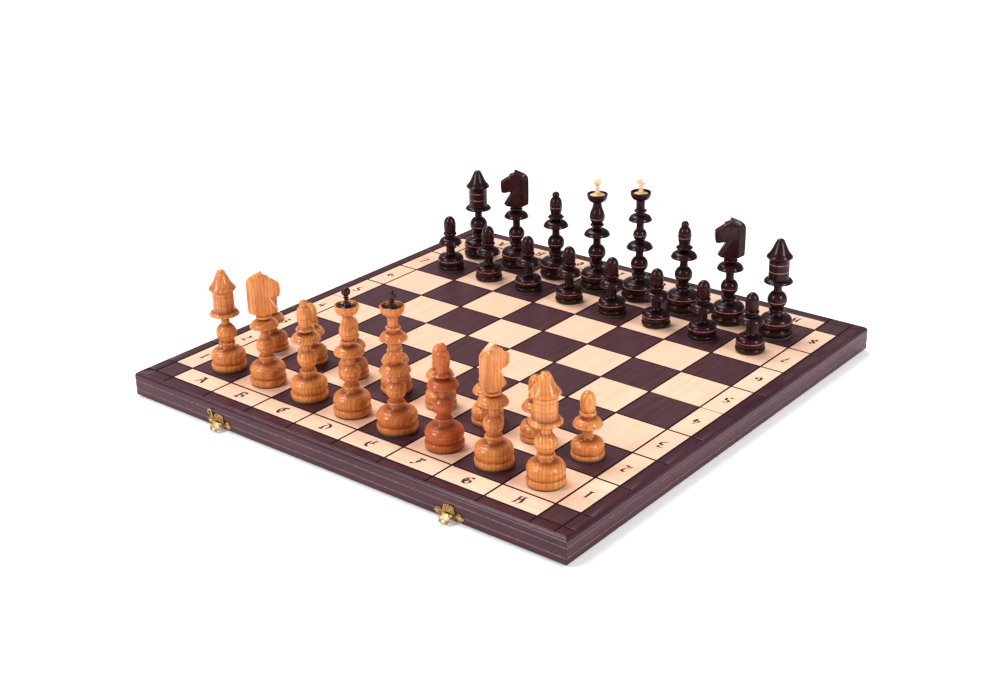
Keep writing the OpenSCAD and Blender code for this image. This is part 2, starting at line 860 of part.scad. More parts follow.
king_finial(white_wood, 4, 7);  // black_king_finial
chessman(black_wood, queen_outline, 3, 7);  // black_queen
queen_finial(white_wood, 3, 7);  // black_queen_finial
chessman(black_wood, bishop_outline, 2, 7);  // black_bishop_c
chessman(black_wood, bishop_outline, 5, 7);  // black_bishop_f
knight(black_wood, 1, 7);  // black_knight_b
knight_head(black_wood, 1, 7, black_gaze[0]);  // black_knight_b_head
knight(black_wood, 6, 7);  // black_knight_g
knight_head(black_wood, 6, 7, black_gaze[1]);  // black_knight_g_head
chessman(black_wood, rook_outline, 0, 7);  // black_rook_a
chessman(black_wood, rook_outline, 7, 7);  // black_rook_h
for (i = [0:7]) {
    pawn(white_wood, i, 1);
    pawn(black_wood, i, 6);
}
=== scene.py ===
"""Looks of the folding chess board and its turned chessmen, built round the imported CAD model."""
import json
import math
import random

import bmesh
import bpy
from mathutils import Matrix, Vector

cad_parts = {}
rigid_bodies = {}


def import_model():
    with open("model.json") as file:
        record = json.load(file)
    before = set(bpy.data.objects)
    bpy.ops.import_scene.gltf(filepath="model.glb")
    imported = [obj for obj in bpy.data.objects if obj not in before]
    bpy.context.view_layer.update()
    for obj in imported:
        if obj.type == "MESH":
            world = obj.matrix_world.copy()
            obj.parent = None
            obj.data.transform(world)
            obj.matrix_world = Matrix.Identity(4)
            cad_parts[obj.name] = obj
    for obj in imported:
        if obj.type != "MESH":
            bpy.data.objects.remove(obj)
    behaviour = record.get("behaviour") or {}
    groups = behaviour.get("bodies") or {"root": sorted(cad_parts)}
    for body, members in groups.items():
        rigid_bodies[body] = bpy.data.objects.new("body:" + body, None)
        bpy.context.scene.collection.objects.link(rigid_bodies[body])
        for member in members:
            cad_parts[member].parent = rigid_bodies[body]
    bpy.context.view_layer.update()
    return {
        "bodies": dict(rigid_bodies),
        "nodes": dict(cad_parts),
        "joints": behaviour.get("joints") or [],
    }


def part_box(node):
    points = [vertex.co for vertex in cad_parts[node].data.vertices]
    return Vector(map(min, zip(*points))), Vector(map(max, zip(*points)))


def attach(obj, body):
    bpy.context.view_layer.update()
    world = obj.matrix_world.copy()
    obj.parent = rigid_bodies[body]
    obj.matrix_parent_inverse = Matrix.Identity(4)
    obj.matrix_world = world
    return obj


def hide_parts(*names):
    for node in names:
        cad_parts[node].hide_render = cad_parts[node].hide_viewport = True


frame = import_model()

MM = 0.001
rng = random.Random(7)

# ---------------------------------------------------------------- places, read from the frame

outer_lo, outer_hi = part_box("front_outer_rail")
panel_lo, panel_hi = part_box("front_panel")
side_lo, side_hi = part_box("front_right_rail")
HALF = outer_hi.x
FIELD = panel_hi.x
TOP = panel_hi.z
RIM_Z = outer_lo.z
BOARD_T = outer_hi.z - outer_lo.z
PANEL_T = panel_hi.z - panel_lo.z
RAIL_W = side_hi.x - side_lo.x
SEAM = -panel_hi.y


def middle(node):
    """Point in the middle of a node's box, on the board's playing face."""
    low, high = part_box(node)
    return Vector(((low.x + high.x) / 2, (low.y + high.y) / 2, low.z))


SQUARE = middle("white_rook_h").x - middle("white_pawn_g").x
GROOVE_W = 1.6 * MM
GROOVE_D = 0.9 * MM


# ---------------------------------------------------------------- materials

def srgb(r, g, b):
    """Linear colour of an 8-bit screen colour."""
    def linear(v):
        v /= 255
        return v / 12.92 if v <= 0.04045 else ((v + 0.055) / 1.055) ** 2.4
    return linear(r), linear(g), linear(b), 1.0


class Shader:
    """A node material: makes nodes and links them in one call."""

    def __init__(self, name, **sockets):
        self.material = bpy.data.materials.new(name)
        self.material.use_nodes = True
        self.tree = self.material.node_tree
        self.bsdf = self.tree.nodes["Principled BSDF"]
        for socket, value in sockets.items():
            self.bsdf.inputs[socket.replace("_", " ")].default_value = value

    def node(self, kind, **settings):
        made = self.tree.nodes.new("ShaderNode" + kind)
        for key, value in settings.items():
            setattr(made, key, value)
        return made

    def put(self, made, **inputs):
        """Sets a node's inputs: a socket is linked, anything else is a value."""
        for key, value in inputs.items():
            name = key.replace("_", " ")
            socket = made.inputs[int(name[2:])] if name.startswith("in") else made.inputs[name]
            if isinstance(value, bpy.types.NodeSocket):
                self.tree.links.new(value, socket)
            else:
                socket.default_value = value
        return made

    def coords(self, scale=(1, 1, 1), turn=(0, 0, 0), shift=None):
        """Object coordinates, scaled and turned, with an optional shift by a socket."""
        out = self.node("TexCoord").outputs["Object"]
        if shift is not None:
            out = self.put(self.node("VectorMath", operation="ADD"), in0=out, in1=shift).outputs[0]
        mapped = self.node("Mapping")
        mapped.inputs["Scale"].default_value = scale
        mapped.inputs["Rotation"].default_value = turn
        self.tree.links.new(out, mapped.inputs["Vector"])
        return mapped.outputs[0]

    def noise(self, vector, scale, detail=4, roughness=0.6, distortion=0.0):
        made = self.put(self.node("TexNoise"), Vector=vector, Scale=scale, Detail=detail,
                        Roughness=roughness, Distortion=distortion)
        return made.outputs["Fac"]

    def ramp(self, factor, *stops):
        """Colour ramp: each stop is (position, colour)."""
        made = self.node("ValToRGB")
        ramp = made.color_ramp
        while len(ramp.elements) < len(stops):
            ramp.elements.new(0.5)
        for element, (position, colour) in zip(ramp.elements, stops):
            element.position = position
            element.color = colour
        self.tree.links.new(factor, made.inputs["Fac"])
        return made.outputs["Color"]

    def mix(self, factor, a, b):
        """Blend of two colours by a factor."""
        made = self.node("Mix", data_type="RGBA", blend_type="MIX")
        for name, value in (("Factor_Float", factor), ("A_Color", a), ("B_Color", b)):
            socket = next(s for s in made.inputs if s.identifier == name)
            if isinstance(value, bpy.types.NodeSocket):
                self.tree.links.new(value, socket)
            else:
                socket.default_value = value
        return next(s for s in made.outputs if s.identifier == "Result_Color")

    def span(self, value, low, high):
        """A factor from 0 to 1 mapped to low..high."""
        made = self.put(self.node("MapRange"), Value=value)
        made.inputs["To Min"].default_value = low
        made.inputs["To Max"].default_value = high
        return made.outputs[0]

    def bump(self, height, distance, strength=1.0, below=None):
        made = self.put(self.node("Bump"), Height=height, Distance=distance, Strength=strength)
        if below is not None:
            self.tree.links.new(below, made.inputs["Normal"])
        return made.outputs["Normal"]

    def finish(self, colour=None, roughness=None, normal=None):
        for name, socket in (("Base Color", colour), ("Roughness", roughness), ("Normal", normal)):
            if socket is not None:
                self.tree.links.new(socket, self.bsdf.inputs[name])
        return self.material


def turned_wood(name, pale, middle_tone, deep, red, lacquer, contrast=1.0):
    """Wood turned on a lathe: soft growth rings, short vertical flecks, and painted shade darkening the
    hollows.

    Each chessman's mesh carries a tone from pale to red, its blank's place in the tree, and its hollows.
    """
    s = Shader(name, Coat_Weight=lacquer, Coat_Roughness=0.12, Specular_IOR_Level=0.12)
    tone = s.node("Attribute", attribute_name="tone").outputs["Fac"]
    hollow = s.node("Attribute", attribute_name="hollow").outputs["Fac"]
    blank = s.node("Attribute", attribute_name="blank").outputs["Vector"]
    rings_at = s.coords((1, 1, 0.12), (0.12, 0.08, 0), blank)
    rings = s.node("TexWave", wave_type="RINGS", rings_direction="Z", wave_profile="SIN")
    s.put(rings, Vector=rings_at, Scale=110, Distortion=7.0, Detail=4)
    rings.inputs["Detail Scale"].default_value = 1.3
    rings.inputs["Detail Roughness"].default_value = 0.6
    flecks = s.noise(s.coords((1, 1, 0.07), (0, 0, 0), blank), 2100, 3, 0.65)
    blotch = s.noise(s.coords((1, 1, 0.5), shift=blank), 75, 4, 0.6)
    grain = s.ramp(rings.outputs["Fac"], (0.1, middle_tone), (0.9, pale))
    softened = s.mix(s.span(blotch, 1 - contrast, 1.15 - contrast), grain, middle_tone)
    cloudy = s.mix(s.ramp(blotch, (0.4, (0, 0, 0, 1)), (0.72, (0.5, 0.5, 0.5, 1))), softened, deep)
    redder = s.mix(s.span(tone, 0, 0.8), cloudy, red)
    flecked = s.mix(s.ramp(flecks, (0.5, (0, 0, 0, 1)), (0.76, (0.24, 0.24, 0.24, 1))), redder, deep)
    # Painted shade: the narrow hollows darken towards the deep tone
    hollow_shaded = s.mix(s.span(hollow, 0, 1.0), flecked, deep)
    normal = s.bump(flecks, 0.00004, 0.6)
    return s.finish(hollow_shaded, s.span(blotch, 0.3, 0.46), normal)


def board_wood(name, pale, deep, along, lacquer=0.25, contrast=0.6, rough=(0.3, 0.42), coarse=1.0):
    """Flat sawn wood with its grain along X or Y."""
    s = Shader(name, Coat_Weight=lacquer, Coat_Roughness=0.18, Specular_IOR_Level=0.12)
    stretch = (0.06, 1, 1) if along == "X" else (1, 0.06, 1)
    at = s.coords(stretch)
    streaks = s.noise(at, 260 * coarse, 5, 0.7, 0.3)
    pores = s.noise(s.coords((0.03, 1, 1) if along == "X" else (1, 0.03, 1)), 2600, 2, 0.5)
    clouds = s.noise(s.coords(), 14, 3, 0.5)
    colour = s.ramp(streaks, (0.5 - 0.35 * contrast, deep), (0.5 + 0.2 * contrast, pale))
    cloudy = s.mix(s.span(clouds, 0, 0.5 * contrast), colour, deep)
    pored = s.mix(s.ramp(pores, (0.58, (0, 0, 0, 1)), (0.8, (0.5, 0.5, 0.5, 1))), cloudy, deep)
    normal = s.bump(pores, 0.00003, 0.5, s.bump(streaks, 0.00005, 0.4))
    return s.finish(pored, s.span(streaks, rough[1], rough[0]), normal)


def stamped_brass(name, dark, middle_tone, pale):
    """Thin stamped brass, a little uneven and tarnished in spots."""
    s = Shader(name, Metallic=1.0)
    at = s.coords()
    cloud = s.noise(at, 240, 4, 0.6)
    fine = s.noise(at, 2600, 3, 0.6)
    colour = s.ramp(cloud, (0.3, dark), (0.5, middle_tone), (0.75, pale))
    spots = s.mix(s.ramp(fine, (0.62, (0, 0, 0, 1)), (0.75, (0.5, 0.5, 0.5, 1))), colour, dark)
    return s.finish(spots, s.span(cloud, 0.38, 0.58), s.bump(fine, 0.00004, 0.5))


def felt_cloth(name):
    """Green felt: a mat of short fibres."""
    s = Shader(name, Sheen_Weight=0.6, Sheen_Roughness=0.5, Specular_IOR_Level=0.1)
    fibres = s.noise(s.coords(), 3200, 3, 0.7, 1.5)
    clumps = s.noise(s.coords(), 500, 2, 0.5)
    colour = s.ramp(fibres, (0.3, srgb(8, 48, 20)), (0.55, srgb(28, 94, 42)), (0.8, srgb(68, 140, 70)))
    return s.finish(colour, s.span(clumps, 0.85, 1.0), s.bump(fibres, 0.00025, 0.8))


def flat_stain(name, dark, light, rough=0.5):
    """Stain that fills a groove or a line, a little uneven along it."""
    s = Shader(name, Specular_IOR_Level=0.3)
    uneven = s.noise(s.coords(), 420, 4, 0.65)
    return s.finish(s.ramp(uneven, (0.3, dark), (0.75, light)), s.span(uneven, rough, rough + 0.25),
                    s.bump(uneven, 0.00004, 0.5))


WHITE_WOOD = turned_wood("white_wood", srgb(243, 169, 97), srgb(225, 136, 65), srgb(134, 56, 17),
                         srgb(174, 66, 30), 0.5)
BLACK_WOOD = turned_wood("black_wood", srgb(56, 15, 21), srgb(37, 8, 13), srgb(13, 2, 4),
                         srgb(62, 12, 19), 0.26, 0.8)
PALE_WOOD = turned_wood("pale_wood", srgb(253, 228, 188), srgb(246, 214, 168), srgb(214, 168, 110),
                        srgb(246, 212, 166), 0.4, 0.7)
WHITE_LINE = flat_stain("white_wood_line", srgb(178, 94, 40), srgb(220, 136, 68))
BLACK_LINE = flat_stain("black_wood_line", srgb(140, 80, 74), srgb(226, 166, 152), 0.4)
LIGHT_SQUARE = board_wood("light_square", srgb(242, 198, 172), srgb(235, 186, 155), "Y", 0.12, 0.4)
DARK_SQUARE = board_wood("dark_square", srgb(84, 51, 58), srgb(58, 31, 38), "Y", 0.14, 0.7)
LABEL_WOOD = board_wood("label_cell", srgb(242, 199, 174), srgb(235, 188, 158), "X", 0.12, 0.4)
RIM_X = board_wood("rim_wood_x", srgb(86, 43, 55), srgb(28, 7, 14), "X", 0.22, 1.0, (0.24, 0.38), 0.8)
RIM_Y = board_wood("rim_wood_y", srgb(86, 44, 55), srgb(28, 8, 14), "Y", 0.22, 1.0, (0.24, 0.38), 0.8)
RIM_LINE = flat_stain("rim_line", srgb(90, 44, 54), srgb(172, 112, 120), 0.4)
GROOVE = flat_stain("groove_stain", srgb(8, 3, 5), srgb(22, 10, 13), 0.6)
PLAIN_WOOD = board_wood("plain_wood", srgb(206, 168, 118), srgb(172, 128, 80), "X", 0.0, 0.8, (0.5, 0.65),
                        0.6)
SPINE_WOOD = board_wood("spine_wood", srgb(150, 104, 84), srgb(104, 66, 54), "X", 0.1, 0.8, (0.4, 0.6), 0.8)
BRASS = stamped_brass("brass", srgb(150, 114, 66), srgb(188, 156, 106), srgb(218, 194, 150))
BRASS_HOLLOW = stamped_brass("brass_hollow", srgb(96, 68, 30), srgb(142, 108, 56), srgb(186, 152, 94))
FELT = felt_cloth("felt")
INK = flat_stain("label_ink", srgb(20, 10, 10), srgb(42, 26, 24), 0.6)


# ---------------------------------------------------------------- making pieces

def make_piece(name, mesh, body, replaced=(), location=(0, 0, 0)):
    """Puts a finished mesh on a CAD body, in place of the CAD nodes that it stands for."""
    piece = bpy.data.objects.new(name, mesh)
    bpy.context.scene.collection.objects.link(piece)
    piece.location = location
    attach(piece, body)
    if replaced:
        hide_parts(*replaced)
    return piece


def mesh_from(name, vertices, faces, materials, face_material=None, smooth=35):
    """Mesh with outward normals, one material per face and edges sharper than smooth degrees kept."""
    mesh = bpy.data.meshes.new(name)
    mesh.from_pydata(vertices, [], faces)
    for material in materials:
        mesh.materials.append(material)
    if face_material:
        mesh.polygons.foreach_set("material_index", face_material)
    work = bmesh.new()
    work.from_mesh(mesh)
    bmesh.ops.recalc_face_normals(work, faces=work.faces)
    work.to_mesh(mesh)
    work.free()
    shade(mesh, smooth)
    return mesh


def shade(mesh, degrees):
    mesh.polygons.foreach_set("use_smooth", [True] * len(mesh.polygons))
    mesh.set_sharp_from_angle(angle=math.radians(degrees))
    mesh.update()


def set_blank(mesh, tone, blank):
    """Gives a mesh its tone and its blank's place in the tree, which turned_wood reads."""
    tones = mesh.attributes.new("tone", "FLOAT", "POINT")
    tones.data.foreach_set("value", [tone] * len(mesh.vertices))
    blanks = mesh.attributes.new("blank", "FLOAT_VECTOR", "POINT")
    blanks.data.foreach_set("vector", [*blank] * len(mesh.vertices))


def mark_hollows(mesh, outline, rows, turns):
    """Gives a turned mesh a value from 0 on its swells to 1 deep in its narrow hollows, where turned_wood
    paints shade.
    """
    def depth(r, z):
        near = [max(rr - r, 0) for rr, zz in outline if abs(zz - z) < 2.4]
        return min(sum(near) / len(near) / 2.4, 1.0)
    values = [0.0]
    for r, z in rows:
        values += [depth(r, z)] * turns
    values.append(0.0)
    hollows = mesh.attributes.new("hollow", "FLOAT", "POINT")
    hollows.data.foreach_set("value", values)


def join_meshes(name, meshes, smooth=35):
    """One mesh made of several, with their materials kept."""
    work = bmesh.new()
    materials = []
    for mesh in meshes:
        start = len(work.faces)
        work.from_mesh(mesh)
        work.faces.ensure_lookup_table()
        index = []
        for material in mesh.materials:
            if material not in materials:
                materials.append(material)
            index.append(materials.index(material))
        for face in work.faces[start:]:
            face.material_index = index[face.material_index]
    joined = bpy.data.meshes.new(name)
    work.to_mesh(joined)
    work.free()
    for material in materials:
        joined.materials.append(material)
    shade(joined, smooth)
    return joined


# ---------------------------------------------------------------- turned outlines, in millimetres

def bead(r0, r1, z0, z1, n=12):
    """Half-round bead that stands out from r0 to r1 between z0 and z1."""
    out = []
    for i in range(n + 1):
        a = math.pi * i / n
        out.append((r0 + (r1 - r0) * math.sin(a), (z0 + z1) / 2 - (z1 - z0) / 2 * math.cos(a)))
    return out


def ball(r, z, r0, r1, n=28):
    """Ball of radius r round height z, from radius r0 below to r1 above."""
    a0, a1 = -math.acos(r0 / r), math.acos(r1 / r)
    angles = [a0 + (a1 - a0) * i / n for i in range(n + 1)]
    return [(r * math.cos(a), z + r * math.sin(a)) for a in angles]


def cove(p, q, n=12):
    """Hollow curve from a flat start at p to an upright end at q."""
    angles = [math.pi / 2 * i / n for i in range(n + 1)]
    return [(p[0] + (q[0] - p[0]) * math.sin(a), p[1] + (q[1] - p[1]) * (1 - math.cos(a))) for a in angles]


def dome(p, q, n=14):
    """Round curve from an upright start at p to a flat end at q."""
    angles = [math.pi / 2 * i / n for i in range(n + 1)]
    return [(p[0] + (q[0] - p[0]) * (1 - math.cos(a)), p[1] + (q[1] - p[1]) * math.sin(a)) for a in angles]


def disc(r, z, below_r, above_r, fall=3.0, rise=5.5):
    """Disc with a rounded rim, hollow below and domed above."""
    under = [(below_r, z - fall), (below_r + 0.5, z - fall + 0.35), (r * 0.55, z - fall * 0.62),
             (r - 1.2, z - 0.75)]
    rim = bead(r - 0.35, r, z - 0.55, z + 0.55, 8)
    over = []
    for i in range(1, 12):
        a = math.pi / 2 * i / 11
        over.append((above_r + (r - 0.5 - above_r) * math.cos(a),
                     z + 0.6 + (rise - 0.6) * math.sin(a) ** 1.15))
    return under + rim + over


FELT_T = 0.9


def foot(r):
    """Foot of a tall chessman: felt, ring, notch and bulge, up to the hollow over its shoulder."""
    return ([(0, FELT_T), (r - 1.6, FELT_T)]
            + bead(r - 1.2, r, FELT_T + 0.1, 6.8)
            + [(r - 1.9, 6.9), (r - 2.1, 7.3), (r - 2.0, 7.8), (r - 1.2, 8.7), (r - 0.5, 10.4)]
            + dome((r - 0.3, 12.8), (10.9, 18.8))
            + [(10.6, 19.1)]
            + cove((10.0, 19.3), (5.8, 22.8)))


def stem(foot_r, ball_r, ball_z, disc_r, disc_z, above_r, rise=5.5):
    """Foot, ring, ball and neck that the tall chessmen share, up to the disc."""
    return (foot(foot_r)
            + bead(5.8, 7.4, 23.5, 26.2)
            + [(5.2, 26.5)]
            + ball(ball_r, ball_z, 5.4, 4.1)
            + [(3.8, (ball_z + disc_z) / 2 + 2)]
            + disc(disc_r, disc_z, 3.9, above_r, rise=rise))


def finial_cup(r, z0, z1, seat_r, seat_d):
    """Bowl that opens upwards from a neck, with a shallow seat for a finial."""
    return (cove((4.0, z0), (r - 0.25, z1 - 1.9), 14)
            + bead(r - 0.25, r, z1 - 1.6, z1 - 0.4, 6)
            + [(r - 0.5, z1 - 0.1), (r - 0.9, z1), (r - 1.3, z1 - 0.15)]
            + [(seat_r + 0.5, z1 - seat_d + 0.4), (seat_r + 0.1, z1 - seat_d), (0, z1 - seat_d)])


KING_CUP_Z, KING_SEAT = 110.2, 3.4
QUEEN_CUP_Z, QUEEN_SEAT = 98.5, 2.6
FINIAL_R = 7.8
HEAD_Z = 65.6

OUTLINES = {
    "king": stem(17.4, 8.6, 35.8, 13.1, 53.1, 4.8)
    + [(4.0, 59.2), (4.0, 59.8), (4.6, 60.7)] + ball(6.8, 66.2, 4.8, 3.9)
    + [(3.6, 75.5)] + disc(11.6, 81.8, 3.7, 4.6, 2.4, 5.2)
    + [(4.2, 87.4), (4.1, 88.6)] + bead(4.2, 6.2, 89.6, 92.2)
    + [(4.3, 93.0), (4.2, 96.5), (4.4, 100)] + finial_cup(10.2, 101.7, KING_CUP_Z, FINIAL_R, KING_SEAT),
    "queen": stem(16.3, 8.9, 37, 13.1, 55.9, 4.8)
    + [(4.0, 62.0), (4.0, 63.6)] + bead(4.1, 6.9, 64.5, 67.4)
    + [(4.8, 67.7), (5.2, 68.2), (6.5, 69.8), (7.3, 71.8), (7.7, 74.2), (7.6, 76.2), (7.1, 78.4),
       (6.3, 80.6), (5.4, 82.8), (4.7, 85.2), (4.3, 87.8)]
    + finial_cup(10.4, 89.6, QUEEN_CUP_Z, FINIAL_R, QUEEN_SEAT),
    "bishop": stem(16.4, 8.7, 36.4, 12.9, 54.6, 5.0)
    + [(4.4, 60.6), (4.6, 61.4), (5.8, 62.2), (7.8, 63.4)] + bead(7.8, 8.2, 63.5, 64.3, 5)
    + [(7.6, 64.7), (6.0, 65.9), (5.2, 66.9), (5.2, 67.4), (5.8, 69.6), (6.2, 72.2), (6.45, 75.0),
       (6.5, 76.6), (6.3, 78.8), (5.9, 80.8), (5.2, 82.6), (4.1, 84.0), (3.3, 84.6)]
    + ball(3.8, 86.8, 3.2, 0.0),
    "knight": stem(16.1, 8.4, 35.4, 12.7, 54.2, 4.8)
    + [(4.0, 60.0), (4.0, 60.4)] + bead(4.4, 6.7, 61, 63.9)
    + [(5.2, 64.5), (5.2, HEAD_Z), (0, HEAD_Z)],
    "rook": stem(15.8, 9.2, 34.8, 13.5, 53, 10.2, 2.6)
    + [(9.7, 55.9), (9.5, 56.6), (9.5, 73.8), (9.9, 74.8), (11.6, 76.2)]
    + bead(11.9, 12.2, 76.6, 77.7, 6)
    + [(11.8, 78.2), (10.6, 79.6), (9.2, 81.4), (7.9, 83.5), (6.8, 85.8), (5.8, 88.1), (4.9, 90.2),
       (4.2, 91.5)]
    + dome((3.9, 91.9), (0.0, 94.4), 10),
    "pawn": [(0, FELT_T), (12.8, FELT_T)] + bead(12.9, 13.8, FELT_T + 0.1, 4.7)
    + [(12.3, 4.9), (12.2, 5.2), (12.4, 5.6), (13.1, 6.4), (13.3, 7.6)] + dome((13.4, 9.4), (9.6, 14.8))
    + [(9.2, 15.0)] + cove((8.6, 15.1), (4.5, 18.4)) + [(4.4, 22)]
    + disc(12.0, 28.2, 4.6, 5.6, 3.8, 5.8) + [(4.7, 34.4), (4.6, 35.4)]
    + bead(5.2, 6.9, 36.6, 39.8) + [(5.5, 40.1), (5.9, 41.0), (6.2, 43.4), (6.3, 46.0), (6.3, 48.0)]
    + dome((6.3, 48.4), (0.0, 57.0)),
    "king_finial": [(0, 0), (7.4, 0), (7.7, 0.3), (7.6, 0.8), (7.2, 1.1)] + cove((6.9, 1.2), (1.8, 6.2))
    + [(1.8, 6.8)] + bead(1.9, 2.5, 7.0, 8.3, 6) + [(1.6, 8.6), (0, 8.8)],
    "queen_finial": [(0, 0), (7.4, 0), (7.7, 0.3), (7.6, 0.8), (7.2, 1.0)] + cove((6.9, 1.1), (1.6, 7.0))
    + [(1.6, 7.8)] + bead(1.7, 2.4, 8.1, 9.3, 6) + [(1.6, 9.6)] + ball(3.9, 14.0, 1.7, 0.0, 18),
}

# Heights of the thin incised lines on each kind of chessman
LINES = {
    "king": [14.2, 35.1, 66.2], "queen": [14.2, 36.2, 73.0], "bishop": [14.2, 35.6, 74.4],
    "knight": [14.2, 34.8], "rook": [14.2, 33.4, 63.4, 70.6], "pawn": [10.4],
    "king_finial": [], "queen_finial": [],
}
LINE_W, LINE_D = 0.6, 0.3


def incise(outline, z):
    """Cuts a V line into an outline at height z, and returns the new outline's points."""
    low, high = z - LINE_W / 2, z + LINE_W / 2

    def radius(height):
        for (ra, za), (rb, zb) in zip(outline, outline[1:]):
            if min(za, zb) <= height <= max(za, zb) and zb != za:
                return ra + (rb - ra) * (height - za) / (zb - za)
        raise ValueError(f"no outline at height {height}")

    below = [p for p in outline if p[1] < low - 0.02]
    above = [p for p in outline if p[1] > high + 0.02]
    cut = [(radius(low), low), (radius(z) - LINE_D, z), (radius(high), high)]
    return below + cut + above


def lathe_mesh(name, kind, wood, line, turns=96):
    """Turned mesh of one kind of outline, with its incised lines in their own colour."""
    outline = OUTLINES[kind]
    for z in LINES[kind]:
        outline = incise(outline, z)
    ring = [p for p in outline if p[0] > 0]
    vertices = [(0, 0, outline[0][1] * MM)]
    for r, z in ring:
        for i in range(turns):
            a = 2 * math.pi * i / turns
            vertices.append((r * math.cos(a) * MM, r * math.sin(a) * MM, z * MM))
    vertices.append((0, 0, outline[-1][1] * MM))
    faces, face_material = [], []
    for i in range(turns):
        faces.append((0, 1 + (i + 1) % turns, 1 + i))
        face_material.append(0)
    for k in range(len(ring) - 1):
        z_mid = (ring[k][1] + ring[k + 1][1]) / 2
        is_line = any(abs(z_mid - z) < LINE_W / 2 for z in LINES[kind])
        a, b = 1 + k * turns, 1 + (k + 1) * turns
        for i in range(turns):
            j = (i + 1) % turns
            faces.append((a + i, a + j, b + j, b + i))
            face_material.append(1 if is_line else 0)
    last = 1 + (len(ring) - 1) * turns
    for i in range(turns):
        faces.append((last + i, last + (i + 1) % turns, len(vertices) - 1))
        face_material.append(0)
    mesh = mesh_from(name, vertices, faces, [wood, line], face_material, 32)
    mark_hollows(mesh, outline, ring, turns)
    return mesh


def felt_mesh(name, radius, turns=64):
    """Felt disc under a foot, a little smaller than the foot and soft at its edge."""
    outline = [(radius - 0.3, 0), (radius, 0.25), (radius + 0.05, FELT_T - 0.2), (radius - 0.1, FELT_T)]
    wobble = random.Random(3)
    vertices = []
    for r, z in outline:
        for i in range(turns):
            a = 2 * math.pi * i / turns
            spread = r + wobble.uniform(-0.08, 0.08)
            vertices.append((spread * math.cos(a) * MM, spread * math.sin(a) * MM, z * MM))
    faces = []
    for k in range(len(outline) - 1):
        for i in range(turns):
            j = (i + 1) % turns
            a, b = k * turns, (k + 1) * turns
            faces.append((a + i, a + j, b + j, b + i))
    faces.append(list(range(turns)))
    faces.append([(len(outline) - 1) * turns + i for i in range(turns)])
    return mesh_from(name, vertices, faces, [FELT], None, 50)


# ---------------------------------------------------------------- carved pieces

HEAD_OUTLINE = [
    (-4.6, 0), (-9.0, 0.7), (-12.6, 1.6), (-12.9, 10), (-12.9, 20), (-12.8, 29.6), (-11.6, 32.0),
    (-8.6, 34.3), (-5.0, 36.0), (-1.6, 37.4), (1.4, 38.4), (1.9, 34.9), (4.2, 34.0), (6.6, 33.2),
    (7.6, 31.0), (11.6, 28.6), (15.6, 26.2), (15.9, 22.6), (15.5, 17.6), (14.7, 14.7), (12.4, 14.2),
    (8.6, 15.6), (6.4, 16.2), (5.4, 15.0), (7.4, 11.0), (10.2, 6.4), (12.7, 2.6), (9.6, 1.0), (4.6, 0),
]
HEAD_THICK = 10.5
# Broad carved facets of a head: point (x, z) and outward direction on its side, how steeply the side falls
# away beyond the point, and the height above which the facet fades out
FACETS = [
    ((-6.4, 15), (-1.0, 0.0), 0.52, 99),
    ((-7.4, 30.3), (-0.527, 0.85), 0.6, 99),
    ((6.2, 7.5), (0.862, 0.507), 0.7, 17),
]
EDGE_LEFT = 1.5


def prism(outline, thick, y0=0.0):
    """Closed prism of an outline in XZ, centred at y0, in millimetres."""
    work = bmesh.new()
    front = [work.verts.new((x, y0 - thick / 2, z)) for x, z in outline]
    back = [work.verts.new((x, y0 + thick / 2, z)) for x, z in outline]
    work.faces.new(front)
    work.faces.new(list(reversed(back)))
    n = len(outline)
    for i in range(n):
        j = (i + 1) % n
        work.faces.new((front[j], front[i], back[i], back[j]))
    work.normal_update()
    return work


def apply_booleans(target, cutters):
    """Cuts each cutter mesh out of the target mesh."""
    piece = bpy.data.objects.new("work", target)
    bpy.context.scene.collection.objects.link(piece)
    others = []
    for k, cutter in enumerate(cutters):
        other = bpy.data.objects.new(f"cut{k}", cutter)
        bpy.context.scene.collection.objects.link(other)
        change = piece.modifiers.new(f"cut{k}", "BOOLEAN")
        change.operation = "DIFFERENCE"
        change.solver = "EXACT"
        change.object = other
        others.append(other)
    bpy.context.view_layer.update()
    seen = piece.evaluated_get(bpy.context.evaluated_depsgraph_get())
    made = bpy.data.meshes.new_from_object(seen)
    for used in [piece] + others:
        bpy.data.objects.remove(used)
    return made


def v_cut(points, width, depth, face_y, side):
    """Cutter for a carved V line that follows points (x, z) on the face at y = face_y."""
    work = bmesh.new()
    lift = 0.6
    rings = []
    count = len(points)
    for i, (x, z) in enumerate(points):
        ax, az = points[max(i - 1, 0)]
        bx, bz = points[min(i + 1, count - 1)]
        length = math.hypot(bx - ax, bz - az)
        nx, nz = -(bz - az) / length, (bx - ax) / length
        taper = 0.35 if i in (0, count - 1) else 1.0
        w, d = width * taper / 2, depth * taper
        wide = w * (d + lift) / d
        ring = [(x + nx * wide, face_y + side * lift, z + nz * wide), (x, face_y - side * d, z),
                (x - nx * wide, face_y + side * lift, z - nz * wide)]
        rings.append([work.verts.new(p) for p in ring])
    for a, b in zip(rings, rings[1:]):
        for k in range(3):
            work.faces.new((a[k], a[(k + 1) % 3], b[(k + 1) % 3], b[k]))
    work.faces.new(rings[0])
    work.faces.new(list(reversed(rings[-1])))
    bmesh.ops.recalc_face_normals(work, faces=work.faces)
    mesh = bpy.data.meshes.new("v_cut")
    work.to_mesh(mesh)
    work.free()
    return mesh


